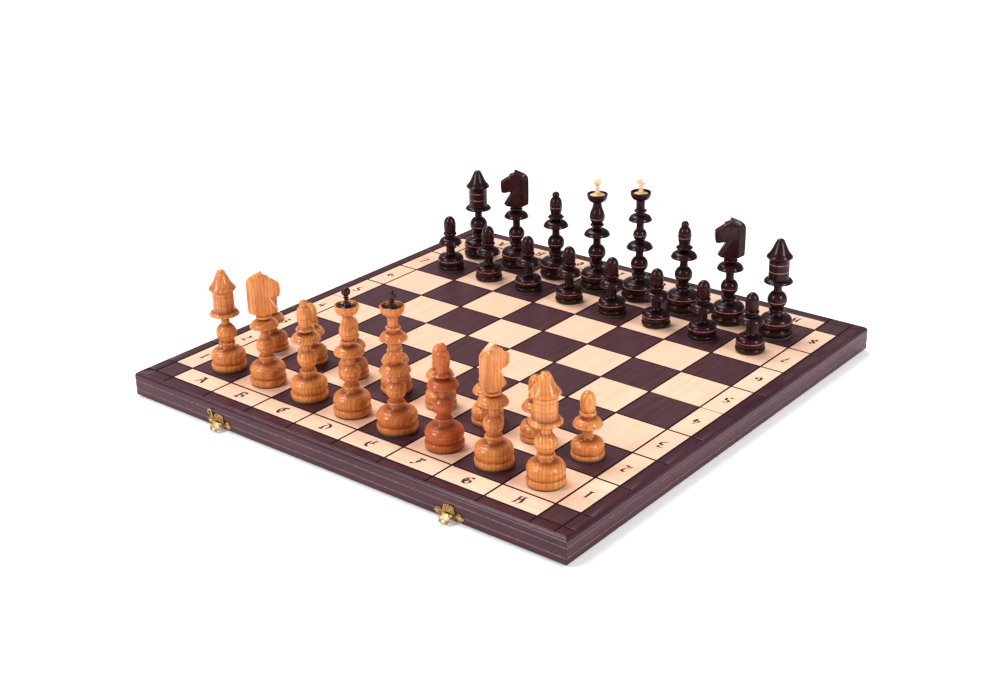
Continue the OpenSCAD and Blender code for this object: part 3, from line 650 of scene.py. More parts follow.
def carve_facets(work):
    """Cuts each facet's border into the sides of a head, then thins the head beyond it."""
    for (x, z), (dx, dz), _, _ in FACETS:
        bmesh.ops.bisect_plane(work, geom=[*work.verts, *work.edges, *work.faces], dist=1e-4,
                               plane_co=(x, 0, z), plane_no=(dx, 0, dz))
    for v in work.verts:
        cut = 0.0
        for (x, z), (dx, dz), slope, fade_z in FACETS:
            beyond = (v.co.x - x) * dx + (v.co.z - z) * dz
            fade = min(max((fade_z - v.co.z) / 6, 0), 1)
            cut = max(cut, beyond * slope * fade)
        half = abs(v.co.y)
        v.co.y = math.copysign(min(half, max(half - cut, EDGE_LEFT)), v.co.y)


def knight_head_mesh(name, wood):
    """Head sawn from a board: broad facets on mane, crest and chest, then carved lines, eye and nostril."""
    work = prism(HEAD_OUTLINE, HEAD_THICK)
    carve_facets(work)
    creases = [e for e in work.edges if e.is_manifold and e.calc_face_angle(0) > math.radians(34)]
    bmesh.ops.bevel(work, geom=creases, offset=0.4, segments=2, profile=0.5, affect="EDGES",
                    clamp_overlap=True)
    bmesh.ops.triangulate(work, faces=work.faces)
    mesh = bpy.data.meshes.new(name)
    work.to_mesh(mesh)
    work.free()
    face = HEAD_THICK / 2
    lines = [
        ([(-5.9, 3.6), (-5.9, 14), (-5.7, 24), (-5.0, 29.5)], 0.7, 0.4),
        ([(15.4, 18.4), (12.8, 18.6), (11.0, 19.4)], 0.7, 0.5),
        ([(7.8, 28.6), (9.2, 28.2), (10.2, 26.8)], 0.7, 0.5),
        ([(2.4, 33.6), (1.0, 31.2), (1.6, 29.0)], 0.8, 0.5),
        ([(13.6, 24.0), (14.6, 22.6)], 0.9, 0.6),
    ]
    cuts = []
    for side in (-1, 1):
        cuts += [v_cut(points, w, d, side * face, side) for points, w, d in lines]
    mesh = apply_booleans(mesh, cuts)
    for v in mesh.vertices:
        x, y, z = v.co
        nose = min(max((x - 4) / 12, 0), 1)
        ear = min(max((z - 30) / 9, 0), 1)
        y *= (1 - 0.3 * nose * nose) * (1 - 0.25 * ear)
        v.co = (x * MM, y * MM, z * MM)
    mesh.materials.clear()
    mesh.materials.append(wood)
    shade(mesh, 24)
    return mesh


def cross_mesh(name, wood):
    """Small hand-cut cross, waisted between its rounded arms."""
    arm, waist, tip, thick = 4.4, 1.15, 1.7, 3.0
    rise, base = 3.9, -3.6
    outline = [(-waist, -waist), (-arm + 0.5, -tip), (-arm, 0), (-arm + 0.5, tip), (-waist, waist),
               (-tip, rise - 0.5), (0, rise), (tip, rise - 0.5), (waist, waist),
               (arm - 0.5, tip), (arm, 0), (arm - 0.5, -tip), (waist, -waist),
               (tip, base), (-tip, base)]
    work = prism(outline, thick)
    edges = [e for e in work.edges if e.calc_face_angle(0) > math.radians(30)]
    bmesh.ops.bevel(work, geom=edges, offset=0.45, segments=3, profile=0.5, affect="EDGES",
                    clamp_overlap=True)
    bmesh.ops.scale(work, vec=(MM, MM, MM), verts=work.verts)
    mesh = bpy.data.meshes.new(name)
    work.to_mesh(mesh)
    work.free()
    mesh.materials.append(wood)
    shade(mesh, 40)
    return mesh


# ---------------------------------------------------------------- chessmen

GAZE = {"white_knight_b": 52, "white_knight_g": 86, "black_knight_b": 219, "black_knight_g": 219}
KING_TOP = 123
FOOT_R = {"king": 17.4, "queen": 16.3, "bishop": 16.4, "knight": 16.1, "rook": 15.8, "pawn": 13.8}
WOODS = {"white": (WHITE_WOOD, WHITE_LINE, "white_wood"), "black": (BLACK_WOOD, BLACK_LINE, "black_wood")}


# Redness of the chessmen that stand out from the others
TONES = {"white_bishop_f": 0.95, "white_king": 0.5}


def from_blank(mesh, name, tone):
    """A copy of a shared mesh, cut from its own blank of wood."""
    copy = mesh.copy()
    copy.name = name
    turn = rng.uniform(0, 2 * math.pi)
    reach = rng.uniform(0.018, 0.05)
    set_blank(copy, tone, (reach * math.cos(turn), reach * math.sin(turn), rng.uniform(0, 0.4)))
    return copy


def build_chessmen():
    shared = {}
    for colour, (wood, line, slot) in WOODS.items():
        for kind in FOOT_R:
            shared[colour, kind] = lathe_mesh(f"{colour}_{kind}", kind, wood, line)
        shared[colour, "head"] = knight_head_mesh(f"{colour}_head", wood)
    for colour, wood in (("white", BLACK_WOOD), ("black", PALE_WOOD)):
        for kind in ("king_finial", "queen_finial"):
            shared[colour, kind] = lathe_mesh(f"{colour}_{kind}", kind, wood, wood, 64)
        shared[colour, "cross"] = cross_mesh(f"{colour}_cross", wood)
    felts = {kind: felt_mesh(f"felt_{kind}", r - 0.7) for kind, r in FOOT_R.items()}
    for body in sorted(frame["bodies"]):
        colour, _, rest = body.partition("_")
        if colour not in WOODS:
            continue
        kind = rest.split("_")[0]
        slot = WOODS[colour][2]
        tone = TONES.get(body, rng.uniform(0, 0.3))
        seat = middle(body)
        turned = from_blank(shared[colour, kind], body, tone)
        make_piece(body + "_turned", turned, body, [body], seat)
        make_piece(body + "_felt", felts[kind], body, (), seat)
        if kind == "knight":
            add_head(body, shared[colour, "head"], tone, seat)
        if kind in ("king", "queen"):
            add_finial(body, kind, colour, shared, seat)


def add_head(body, shared_head, tone, seat):
    """Puts a knight's head on its foot, looking along its gaze."""
    head = from_blank(shared_head, body + "_head", tone)
    head.transform(Matrix.Rotation(math.radians(GAZE[body]), 4, "Z"))
    at = seat + Vector((0, 0, HEAD_Z * MM))
    make_piece(body + "_head_carved", head, body, [body + "_head"], at)


def add_finial(body, kind, colour, shared, seat):
    """Finial of the other colour's wood in the king's or queen's cup."""
    height = KING_CUP_Z - KING_SEAT if kind == "king" else QUEEN_CUP_Z - QUEEN_SEAT
    at = seat + Vector((0, 0, height * MM))
    finial = from_blank(shared[colour, kind + "_finial"], body + "_finial", 0.4)
    make_piece(body + "_finial_turned", finial, body, [body + "_finial"], at)
    if kind == "king":
        cross = from_blank(shared[colour, "cross"], body + "_cross", 0.4)
        top = seat + Vector((0, 0, (KING_TOP - 3.9) * MM))
        make_piece(body + "_cross", cross, body, (), top)


# ---------------------------------------------------------------- board

FILE_LINES = [-FIELD] + [i * SQUARE for i in range(-4, 5)] + [FIELD]
RANK_LINES = [-FIELD] + [i * SQUARE for i in range(-4, 0)]
# Section of a groove: distance from its middle line and depth, both as shares of its own size
GROOVE_STEPS = [(0.62, 0.0), (0.5, 0.14), (0.3, 1.0)]


def groove_breaks(lines, low, high):
    """Positions with depths along one direction: flat cells with a groove at each line."""
    out = []
    for line in lines:
        for share, depth in GROOVE_STEPS:
            out.append((line - share * GROOVE_W, depth * GROOVE_D))
        for share, depth in reversed(GROOVE_STEPS):
            out.append((line + share * GROOVE_W, depth * GROOVE_D))
    return [(p, d) for p, d in out if low <= p <= high]


SEAM_EDGE = 0.25 * MM


def cell_material(x, y, sign):
    """Slot of the wood at a point of the panel: light, dark, label or groove."""
    near = min(min(abs(x - f) for f in FILE_LINES), min(abs(y - r) for r in RANK_LINES))
    if near < 0.6 * GROOVE_W or y > -SEAM - SEAM_EDGE:
        return 3
    in_files, in_ranks = abs(x) < 4 * SQUARE, y > -4 * SQUARE
    if in_files and in_ranks:
        file, rank = math.floor(x / SQUARE) + 4, math.floor(y / SQUARE) + 4
        dark = (file + rank) % 2 == 0 if sign < 0 else (file + rank) % 2 == 1
        return 1 if dark else 0
    return 2 if in_files or in_ranks else 1


def panel_mesh(name, sign):
    """Playing panel of one half, with grooves round its squares; sign is -1 in front and 1 at the rear."""
    xs = [(-FIELD, GROOVE_D)] + groove_breaks(FILE_LINES, -FIELD + 1e-6, FIELD - 1e-6) + [(FIELD, GROOVE_D)]
    ys = [(-FIELD, GROOVE_D)] + groove_breaks(RANK_LINES, -FIELD + 1e-6, -SEAM - 1e-6)
    ys += [(-SEAM - SEAM_EDGE, 0.0), (-SEAM, SEAM_EDGE)]
    vertices, faces, face_material = [], [], []
    for y, dy in ys:
        for x, dx in xs:
            vertices.append((x, -sign * y, TOP - max(dx, dy)))
    wide = len(xs)
    for j in range(len(ys) - 1):
        for i in range(wide - 1):
            a = j * wide + i
            faces.append((a, a + 1, a + 1 + wide, a + wide))
            x, y = (xs[i][0] + xs[i + 1][0]) / 2, (ys[j][0] + ys[j + 1][0]) / 2
            face_material.append(cell_material(x, y, sign))
    rim = list(range(wide))
    rim += [j * wide + wide - 1 for j in range(1, len(ys))]
    rim += [(len(ys) - 1) * wide + i for i in range(wide - 2, -1, -1)]
    rim += [j * wide for j in range(len(ys) - 2, 0, -1)]
    base = len(vertices)
    for v in rim:
        x, y, _ = vertices[v]
        vertices.append((x, y, TOP - PANEL_T))
    n = len(rim)
    for k in range(n):
        faces.append((rim[k], rim[(k + 1) % n], base + (k + 1) % n, base + k))
        face_material.append(1)
    faces.append([base + k for k in range(n)])
    face_material.append(4)
    return mesh_from(name, vertices, faces, [LIGHT_SQUARE, DARK_SQUARE, LABEL_WOOD, GROOVE, PLAIN_WOOD],
                     face_material, 20)


LINE_HEIGHTS = (5.8 * MM, 14.4 * MM)
V_DEPTH = 0.5 * MM
MOULDING_W = 2.4 * MM
RIM_W = RAIL_W - 5 * MM


def rail_profile():
    """Section of an outer rail: (distance in from the outer face, height, depth share, material)."""
    out = [(0.4 * MM, 0, 0, 0), (0, 0.4 * MM, 0, 0)]
    for z in LINE_HEIGHTS:
        out += [(0, z - V_DEPTH, 0, 1), (V_DEPTH * 0.8, z - 0.12 * MM, 0, 1),
                (V_DEPTH * 0.8, z + 0.12 * MM, 0, 1), (0, z + V_DEPTH, 0, 0)]
    z0 = BOARD_T - MOULDING_W
    out += [(0, z0 - 0.5 * MM, 0, 0), (0.3 * MM, z0 - 0.1 * MM, 0, 0), (0.55 * MM, z0 + 0.1 * MM, 0, 0)]
    for radius, u0, rise in ((1.3 * MM, 0.5 * MM, 0.2 * MM), (0.6 * MM, 2.0 * MM, 1.75 * MM)):
        for i in range(8):
            a = math.pi / 2 * i / 7
            out.append((u0 + radius * (1 - math.cos(a)), z0 + rise + radius * math.sin(a), 0, 0))
    out += [(MOULDING_W + 0.35 * MM, BOARD_T, 0, 0), (MOULDING_W + 0.7 * MM, BOARD_T, 1, 0)]
    lip = RIM_W - 0.62 * GROOVE_W
    out += [(lip, BOARD_T, 1, 0), (RIM_W - 0.5 * GROOVE_W, BOARD_T - 0.14 * GROOVE_D, 1, 2)]
    out += [(RIM_W - 0.3 * GROOVE_W, BOARD_T - GROOVE_D, 0, 2), (RIM_W, BOARD_T - GROOVE_D, 0, 2)]
    out += [(RIM_W, BOARD_T - PANEL_T, 0, 0), (RAIL_W, BOARD_T - PANEL_T, 0, 0), (RAIL_W, 0.3 * MM, 0, 0),
            (RAIL_W - 0.3 * MM, 0, 0, 0)]
    return out


def rail_mesh(name, length, lines, mitres, wood):
    """Rail along +X from 0, its outer face at y = 0; mitres says which of its two ends are mitred."""
    profile = rail_profile()
    gap = 0.05 * MM
    stations = [(0.0, 0.0)] + groove_breaks(sorted(lines), RIM_W, length - RIM_W + 1e-9) + [(length, 0.0)]
    if not mitres[0]:
        stations = [(0.0, 0.0)] + groove_breaks(sorted(lines), 1e-6, length - RIM_W) + [(length, 0.0)]
    vertices, faces, face_material = [], [], []
    for index, (s, depth) in enumerate(stations):
        for u, z, share, _ in profile:
            x = s
            if index == 0:
                x = (u + gap) if mitres[0] else 0
            if index == len(stations) - 1:
                x = length - ((u + gap) if mitres[1] else 0)
            vertices.append((x, u, z - depth * share if share and z > BOARD_T - GROOVE_D / 2 else z))
    n = len(profile)
    for k in range(len(stations) - 1):
        sunk = min(stations[k][1], stations[k + 1][1]) > 0
        for i in range(n):
            j = (i + 1) % n
            a, b = k * n, (k + 1) * n
            faces.append((a + i, b + i, b + j, a + j))
            on_top = profile[i][2] and profile[j][2]
            face_material.append(2 if sunk and on_top else profile[i][3])
    faces.append(list(range(n)))
    faces.append([(len(stations) - 1) * n + i for i in reversed(range(n))])
    face_material += [0, 0]
    return mesh_from(name, vertices, faces, [wood, RIM_LINE, GROOVE], face_material, 24)


def build_rails():
    across = [x + HALF for x in FILE_LINES]
    along = [y + HALF for y in RANK_LINES]
    long_rail = rail_mesh("outer_rail", 2 * HALF, across, (True, True), RIM_X)
    side_rail = rail_mesh("side_rail", HALF - SEAM, along, (True, False), RIM_Y)
    to_front = Matrix.Translation((-HALF, -HALF, RIM_Z))
    to_left = Matrix.Translation((-HALF, -HALF, RIM_Z)) @ Matrix(
        ((0, 1, 0, 0), (1, 0, 0, 0), (0, 0, 1, 0), (0, 0, 0, 1)))
    flip_x = Matrix.Diagonal((-1, 1, 1, 1))
    flip_y = Matrix.Diagonal((1, -1, 1, 1))
    places = {
        "outer": (long_rail, to_front), "left": (side_rail, to_left), "right": (side_rail, flip_x @ to_left),
    }
    for half, turn in (("front", Matrix.Identity(4)), ("rear", flip_y)):
        for which, (mesh, place) in places.items():
            copy = mesh.copy()
            matrix = turn @ place
            copy.transform(matrix)
            if matrix.determinant() < 0:
                copy.flip_normals()
            node = f"{half}_{which}_rail"
            make_piece(node + "_moulded", copy, f"{half}_half", [node])


# ---------------------------------------------------------------- letters and numbers

# Broad-nib strokes on a 10-unit high cell, one list of points for each stroke
STROKES = {
    "A": [[(0.8, 7.6), (2.4, 9.2), (4.4, 8.6), (6.0, 9.4)], [(4.9, 9.2), (3.2, 4.6), (1.2, 0.8)],
          [(5.4, 9.0), (6.0, 4.6), (7.6, 0.8)], [(2.0, 4.0), (6.0, 4.4)], [(0.6, 0.6), (1.8, 1.6)]],
    "B": [[(0.6, 8.2), (2.4, 9.4), (3.0, 8.4)], [(2.6, 9.0), (2.6, 1.0)], [(2.8, 9.0), (5.6, 9.4), (6.6, 7.4),
          (3.2, 5.4)], [(3.2, 5.4), (6.8, 4.6), (6.8, 2.0), (4.2, 0.6), (1.0, 1.2)]],
    "C": [[(6.6, 8.4), (5.0, 9.4), (2.8, 8.6), (1.6, 5.4), (2.4, 1.8), (4.6, 0.6), (6.8, 2.0)],
          [(3.8, 8.8), (4.6, 5.0), (3.8, 2.2)], [(4.6, 5.2), (6.2, 5.4)]],
    "D": [[(0.8, 7.8), (2.6, 9.2), (5.4, 8.8), (7.4, 6.0), (6.6, 2.4), (4.2, 0.8), (1.2, 1.4)],
          [(3.4, 7.2), (2.6, 4.4), (3.2, 1.6)]],
    "E": [[(6.4, 8.6), (4.8, 9.4), (2.4, 8.0), (1.6, 4.8), (2.6, 1.4), (4.8, 0.6), (6.8, 2.0)],
          [(1.8, 5.0), (5.8, 5.6), (4.8, 7.6)]],
    "F": [[(1.2, 8.0), (3.0, 9.2), (7.2, 9.2)], [(4.4, 9.0), (4.2, 3.0), (2.6, 0.8), (0.8, 1.6)],
          [(2.8, 5.2), (6.4, 5.6)], [(6.8, 9.2), (6.6, 7.6)]],
    "G": [[(6.8, 8.2), (5.0, 9.4), (2.6, 8.2), (1.6, 4.8), (3.0, 1.2), (5.8, 0.8), (7.0, 3.0), (6.4, 5.4),
          (4.6, 5.2)], [(3.8, 7.4), (3.8, 2.6)]],
    "H": [[(0.8, 8.0), (2.6, 9.2), (2.8, 4.6), (2.2, 0.8)], [(2.8, 5.4), (5.8, 6.0), (6.4, 2.6), (5.2, 0.2)],
          [(5.4, 9.2), (5.6, 6.2)], [(1.0, 0.8), (3.0, 1.2)], [(4.6, 9.0), (7.0, 9.4)]],
    "1": [[(2.2, 7.4), (4.0, 9.0), (4.0, 1.0)], [(2.4, 0.8), (5.6, 1.0)]],
    "2": [[(1.8, 7.4), (3.6, 9.2), (5.8, 8.0), (5.0, 5.0), (1.8, 1.2)], [(1.8, 1.2), (3.8, 1.8), (6.2, 0.8)]],
    "3": [[(1.8, 8.6), (4.8, 9.0), (5.4, 7.2), (3.2, 5.4)], [(3.2, 5.4), (6.0, 4.4), (5.6, 1.4), (2.0, 0.8)]],
    "4": [[(4.6, 9.0), (1.4, 3.6), (6.6, 3.4)], [(4.8, 6.4), (4.8, 0.6)]],
    "5": [[(5.8, 9.2), (2.4, 8.8), (2.2, 5.6), (5.0, 5.4), (5.8, 2.6), (4.0, 0.6), (1.6, 1.2)]],
    "6": [[(5.6, 9.0), (2.6, 7.0), (1.8, 3.4), (3.6, 0.8), (5.8, 2.2), (5.4, 4.8), (2.4, 4.2)]],
    "7": [[(1.6, 8.2), (3.6, 9.0), (6.2, 8.6), (4.4, 4.6), (3.2, 0.6)], [(3.0, 4.8), (5.6, 5.2)]],
    "8": [[(3.8, 5.2), (1.8, 7.4), (3.8, 9.2), (5.6, 7.4), (3.8, 5.2), (1.8, 2.6), (3.8, 0.6), (5.8, 2.6),
          (3.8, 5.2)]],
}
NIB = (0.8, 0.62)
LETTER_H = 12.4 * MM
INK_T = 0.03 * MM


def glyph_prisms(work, char, centre, angle):
    """Adds the thin raised strokes of one character, centred, to a bmesh."""
    scale = LETTER_H / 10
    turn = Matrix.Rotation(angle, 2)
    for k, stroke in enumerate(STROKES[char]):
        for m, (p, q) in enumerate(zip(stroke, stroke[1:])):
            quad = [(p[0] - NIB[0], p[1] - NIB[1]), (p[0] + NIB[0], p[1] + NIB[1]),
                    (q[0] + NIB[0], q[1] + NIB[1]), (q[0] - NIB[0], q[1] - NIB[1])]
            corners = [Vector(centre) + turn @ Vector(((x - 4) * scale, (y - 5) * scale)) for x, y in quad]
            height = TOP + INK_T + (3 * k + m) * 0.002 * MM
            low = [work.verts.new((c.x, c.y, TOP - 0.02 * MM)) for c in corners]
            high = [work.verts.new((c.x, c.y, height)) for c in corners]
            work.faces.new(high)
            work.faces.new(list(reversed(low)))
            for i in range(4):
                j = (i + 1) % 4
                work.faces.new((low[i], low[j], high[j], high[i]))


def build_labels():
    band = (FIELD + 4 * SQUARE) / 2
    for half, sign in (("front", -1), ("rear", 1)):
        work = bmesh.new()
        for i, char in enumerate("ABCDEFGH"):
            glyph_prisms(work, char, ((i - 3.5) * SQUARE, sign * band), 0 if sign < 0 else math.pi)
        for i in range(4):
            rank = i if sign < 0 else i + 4
            y = (rank - 3.5) * SQUARE
            glyph_prisms(work, str(rank + 1), (-band, y), 0)
            glyph_prisms(work, str(rank + 1), (band, y), math.pi)
        bmesh.ops.recalc_face_normals(work, faces=work.faces)
        mesh = bpy.data.meshes.new(f"{half}_labels")
        work.to_mesh(mesh)
        work.free()
        mesh.materials.append(INK)
        make_piece(f"{half}_labels", mesh, f"{half}_half", ())


def build_board():
    for half, sign in (("front", -1), ("rear", 1)):
        mesh = panel_mesh(f"{half}_panel_top", sign)
        make_piece(f"{half}_panel_inlaid", mesh, f"{half}_half", [f"{half}_panel"])
        spine = frame["nodes"][f"{half}_spine_rail"]
        spine.data.materials.clear()
        spine.data.materials.append(SPINE_WOOD)
    build_rails()
    build_labels()


# ---------------------------------------------------------------- brass

PLATE_HALF = [
    (0, 9.6), (0.8, 8.3), (1.7, 8.0), (2.6, 8.9), (3.2, 7.7), (4.4, 7.9), (5.3, 6.9), (5.0, 5.6), (5.9, 4.6),
    (6.0, 3.2), (6.6, 1.7), (7.4, 1.4), (8.2, 2.7), (9.5, 4.0), (10.3, 3.3), (11.4, 4.1), (12.4, 3.0),
    (12.5, 1.9), (14.1, 1.4), (15.0, -0.4), (13.5, -1.1), (13.3, -2.5), (11.9, -2.5), (11.1, -3.8),
    (9.7, -2.9), (8.4, -2.6), (7.5, -1.5), (6.7, -1.4), (6.1, -2.6), (5.4, -3.4), (0, -3.4),
]
BRASS_T = 0.8


def both_sides(half):
    return half + [(-x, y) for x, y in reversed(half[1:-1])]


def embossed_plate(outline, bosses, ribs):
    """Thin stamped plate in XY with rounded edges, round bosses and curved ribs, in millimetres."""
    work = bmesh.new()
    low = [work.verts.new((x, y, 0)) for x, y in outline]
    high = [work.verts.new((x, y, BRASS_T)) for x, y in outline]
    work.faces.new(list(reversed(low)))
    work.faces.new(high).material_index = 1
    n = len(outline)
    for i in range(n):
        j = (i + 1) % n
        work.faces.new((low[i], low[j], high[j], high[i]))
    rim = [e for e in work.edges if all(v.co.z > BRASS_T / 2 for v in e.verts)]
    bmesh.ops.bevel(work, geom=rim, offset=0.28, segments=2, profile=0.5, affect="EDGES", clamp_overlap=True)
    for x, y, r, h in bosses:
        add_boss(work, x, y, r, h)
    for points, r in ribs:
        add_rib(work, points, r)
    mesh = bpy.data.meshes.new("plate")
    work.to_mesh(mesh)
    work.free()
    mesh.materials.append(BRASS)
    mesh.materials.append(BRASS_HOLLOW)
    return mesh


def add_boss(work, x, y, r, h, turns=24):
    """Low domed boss on the plate."""
    rings = []
    for k in range(6):
        a = math.pi / 2 * k / 6
        rings.append([work.verts.new((x + r * math.cos(a) * math.cos(t), y + r * math.cos(a) * math.sin(t),
                                      BRASS_T - 0.1 + h * math.sin(a)))
                      for t in (2 * math.pi * i / turns for i in range(turns))])
    tip = work.verts.new((x, y, BRASS_T - 0.1 + h))
    for a, b in zip(rings, rings[1:]):
        for i in range(turns):
            j = (i + 1) % turns
            work.faces.new((a[i], a[j], b[j], b[i]))
    for i in range(turns):
        work.faces.new((rings[-1][i], rings[-1][(i + 1) % turns], tip))
    work.faces.new(list(reversed(rings[0])))


def add_rib(work, points, r, sides=8):
    """Round wire or rib that follows points in the plate's plane, or in space where they have a z."""
    path = [Vector((p[0], p[1], p[2] if len(p) > 2 else BRASS_T)) for p in points]
    rings = []
    for i, p in enumerate(path):
        ahead = (path[min(i + 1, len(path) - 1)] - path[max(i - 1, 0)]).normalized()
        side = ahead.cross(Vector((0, 0, 1)))
        side = side.normalized() if side.length > 1e-6 else Vector((1, 0, 0))
        up = side.cross(ahead)
        taper = 0.5 if i in (0, len(path) - 1) and path[0] != path[-1] else 1.0
        rings.append([work.verts.new(p + (side * math.cos(a) + up * math.sin(a)) * r * taper)
                      for a in (2 * math.pi * k / sides for k in range(sides))])
    for a, b in zip(rings, rings[1:]):
        for k in range(sides):
            m = (k + 1) % sides
            work.faces.new((a[k], a[m], b[m], b[k]))
    work.faces.new(list(reversed(rings[0])))
    work.faces.new(rings[-1])


def arc(cx, cy, r, a0, a1, n=12):
    """Points on an arc in the plate's plane, angles in degrees."""
    angles = [math.radians(a0 + (a1 - a0) * i / n) for i in range(n + 1)]
    return [(cx + r * math.cos(a), cy + r * math.sin(a)) for a in angles]


def latch_plate_mesh(with_loop):
    """Stamped latch plate: crown with a ring and two curls, veined leaf ears, a rib above the pivot."""
    bosses = [(0, 8.0, 0.8, 0.7), (2.6, 7.7, 0.7, 0.6), (-2.6, 7.7, 0.7, 0.6)]
    ribs = [(arc(0, 4.9, 1.7, 0, 360, 24), 0.5)]
    for side in (-1, 1):
        ribs.append(([(side * x, y) for x, y in arc(3.9, 5.3, 1.0, -80, 230, 16)], 0.42))
        ribs.append(([(side * 6.8, 0.1), (side * 9, 0.5), (side * 13.9, -0.1)], 0.42))
        ribs.append(([(side * 8.6, 0.5), (side * 9.6, 2.9)], 0.34))
        ribs.append(([(side * 10.6, 0.4), (side * 11.5, 2.8)], 0.32))
        ribs.append(([(side * 8.8, -0.1), (side * 9.4, -2.2)], 0.34))
        ribs.append(([(side * 10.8, -0.3), (side * 11.3, -2.6)], 0.32))
    ribs.append(([(-5.4, 2.3), (0, 2.7), (5.4, 2.3)], 0.5))
    if with_loop:
        loop = [(-6.4, 3.4, 1.3)]
        loop += [(x, y, 1.5) for x, y in arc(-10.2, 8.2, 2.2, -20, 200, 16)]
        loop += [(-9.0, 5.2, 1.4), (-6.0, 2.6, 1.2)]
        ribs.append((loop, 0.6))
    return embossed_plate(both_sides(PLATE_HALF), bosses, ribs)


def build_latches():
    """Stamped plates with their hinge ears, and the two hasps that swing on them."""
    pivots = {}
    for joint in frame["joints"]:
        if joint["name"].endswith("_hasp_swing"):
            pivots[joint["child"]] = Vector(joint["pos_m"])
    stand = Matrix(((1, 0, 0, 0), (0, 0, -1, 0), (0, 1, 0, 0), (0, 0, 0, 1)))
    meshes = []
    for body, pivot in pivots.items():
        mesh = latch_plate_mesh(body == "left_hasp")
        mesh.transform(Matrix.Scale(MM, 4))
        mesh.transform(Matrix.Translation((pivot.x, -HALF, pivot.z)) @ stand)
        meshes.append(mesh)
    ears = ear_mesh(pivots)
    plate = join_meshes("front_latch_plates_stamped", meshes + [ears], 40)
    make_piece("front_latch_plates_stamped", plate, "front_half", ["front_latch_plates"])
    for body, pivot in pivots.items():
        build_hasp(body, pivot)


EAR_INNER_X, EAR_OUTER_X = 2.8, 4.6
EAR_ROOT = 0.3
EAR_STEPS = 16


def ear_mesh(pivots):
    """Rolled hinge ears on both sides of each hasp, from the CAD's sizes."""
    work = bmesh.new()
    barrel = BARREL_R * MM
    for pivot in pivots.values():
        for side in (-1, 1):
            x0, x1 = side * EAR_INNER_X * MM, side * EAR_OUTER_X * MM
            section = [(-HALF - EAR_ROOT * MM, pivot.z - barrel), (pivot.y, pivot.z - barrel)]
            for i in range(1, EAR_STEPS + 1):
                a = math.radians(-90 - 180 * i / EAR_STEPS)
                section.append((pivot.y + barrel * math.cos(a), pivot.z + barrel * math.sin(a)))
            section.append((-HALF - EAR_ROOT * MM, pivot.z + barrel))
            near = [work.verts.new((pivot.x + x0, y, z)) for y, z in section]
            far = [work.verts.new((pivot.x + x1, y, z)) for y, z in section]
            n = len(section)
            work.faces.new(near)
            work.faces.new(list(reversed(far)))
            for i in range(n):
                j = (i + 1) % n
                work.faces.new((near[j], near[i], far[i], far[j]))
    bmesh.ops.recalc_face_normals(work, faces=work.faces)
    mesh = bpy.data.meshes.new("ears")
    work.to_mesh(mesh)
    work.free()
    mesh.materials.append(BRASS)
    return mesh


# Hasp, hanging straight down from its pivot: middle line of its sheet as (y, z), and its sizes
HASP_CURVE = [(-1.3, 0.3), (-1.9, -1.4), (-2.1, -3.0), (-1.9, -4.6), (-1.3, -6.0), (-0.7, -7.0), (-0.1, -7.8)]
HASP_L = 8.4
HASP_W = 9.6
HASP_INNER_W = 5.2
HASP_SHEET = 0.7
HASP_WINDOW = (-5.3, -7.3)
BARREL_R = 1.2


def hasp_rows(steps):
    """Rows down a hasp's sheet: (y, z, its direction outwards in y and z, half width)."""
    rows = []
    spans = len(HASP_CURVE) - 1
    for i in range(steps + 1):
        t = i / steps
        k = min(int(t * spans), spans - 1)
        (ya, za), (yb, zb) = HASP_CURVE[k], HASP_CURVE[k + 1]
        f = t * spans - k
        length = math.hypot(yb - ya, zb - za)
        out_y, out_z = (zb - za) / length, -(yb - ya) / length
        half = HASP_INNER_W / 2 + (HASP_W - HASP_INNER_W) / 2 * min(max(t - 0.12, 0) / 0.14, 1.0) ** 0.5
        if t > 0.86:
            half *= math.sqrt(max(1 - ((t - 0.86) / 0.22) ** 2, 0.05))
        rows.append((ya + (yb - ya) * f, za + (zb - za) * f, out_y, out_z, half))
    return rows


def add_hasp_sheet(work, steps=36):
    """The hooded tongue, a bent sheet with a window."""
    rows = hasp_rows(steps)
    columns = [-1, -0.88, -0.6, -0.37, 0, 0.37, 0.6, 0.88, 1]
    grid = {}
    for i, (y, z, out_y, out_z, half) in enumerate(rows):
        for j, c in enumerate(columns):
            curl = 0.5 * c ** 4
            for side in (0, 1):
                off = HASP_SHEET * (0.5 - side) - curl
                grid[i, j, side] = work.verts.new((half * c, y + out_y * off, z + out_z * off))

    def solid(i, j):
        if not (0 <= i < steps and 0 <= j < len(columns) - 1):
            return False
        in_window = HASP_WINDOW[1] < (rows[i][1] + rows[i + 1][1]) / 2 < HASP_WINDOW[0]
        return not (in_window and 3 <= j <= 4)

    for i in range(steps):
        for j in range(len(columns) - 1):
            if not solid(i, j):
                continue
            a, b, c, d = (i, j), (i, j + 1), (i + 1, j + 1), (i + 1, j)
            work.faces.new([grid[p + (0,)] for p in (a, b, c, d)])
            work.faces.new([grid[p + (1,)] for p in (d, c, b, a)])
            sides = ((a, b, (i - 1, j)), (b, c, (i, j + 1)), (c, d, (i + 1, j)), (d, a, (i, j - 1)))
            for p, q, other in sides:
                if not solid(*other):
                    work.faces.new((grid[q + (0,)], grid[p + (0,)], grid[p + (1,)], grid[q + (1,)]))


def add_hasp_knuckle(work, turns=28):
    """The rolled knuckle that turns on the pin."""
    ends = []
    for x in (-HASP_INNER_W / 2, HASP_INNER_W / 2):
        ends.append([work.verts.new((x, BARREL_R * math.cos(t), BARREL_R * math.sin(t)))
                     for t in (2 * math.pi * k / turns for k in range(turns))])
    for k in range(turns):
        m = (k + 1) % turns
        work.faces.new((ends[0][k], ends[0][m], ends[1][m], ends[1][k]))
    work.faces.new(list(reversed(ends[0])))
    work.faces.new(ends[1])


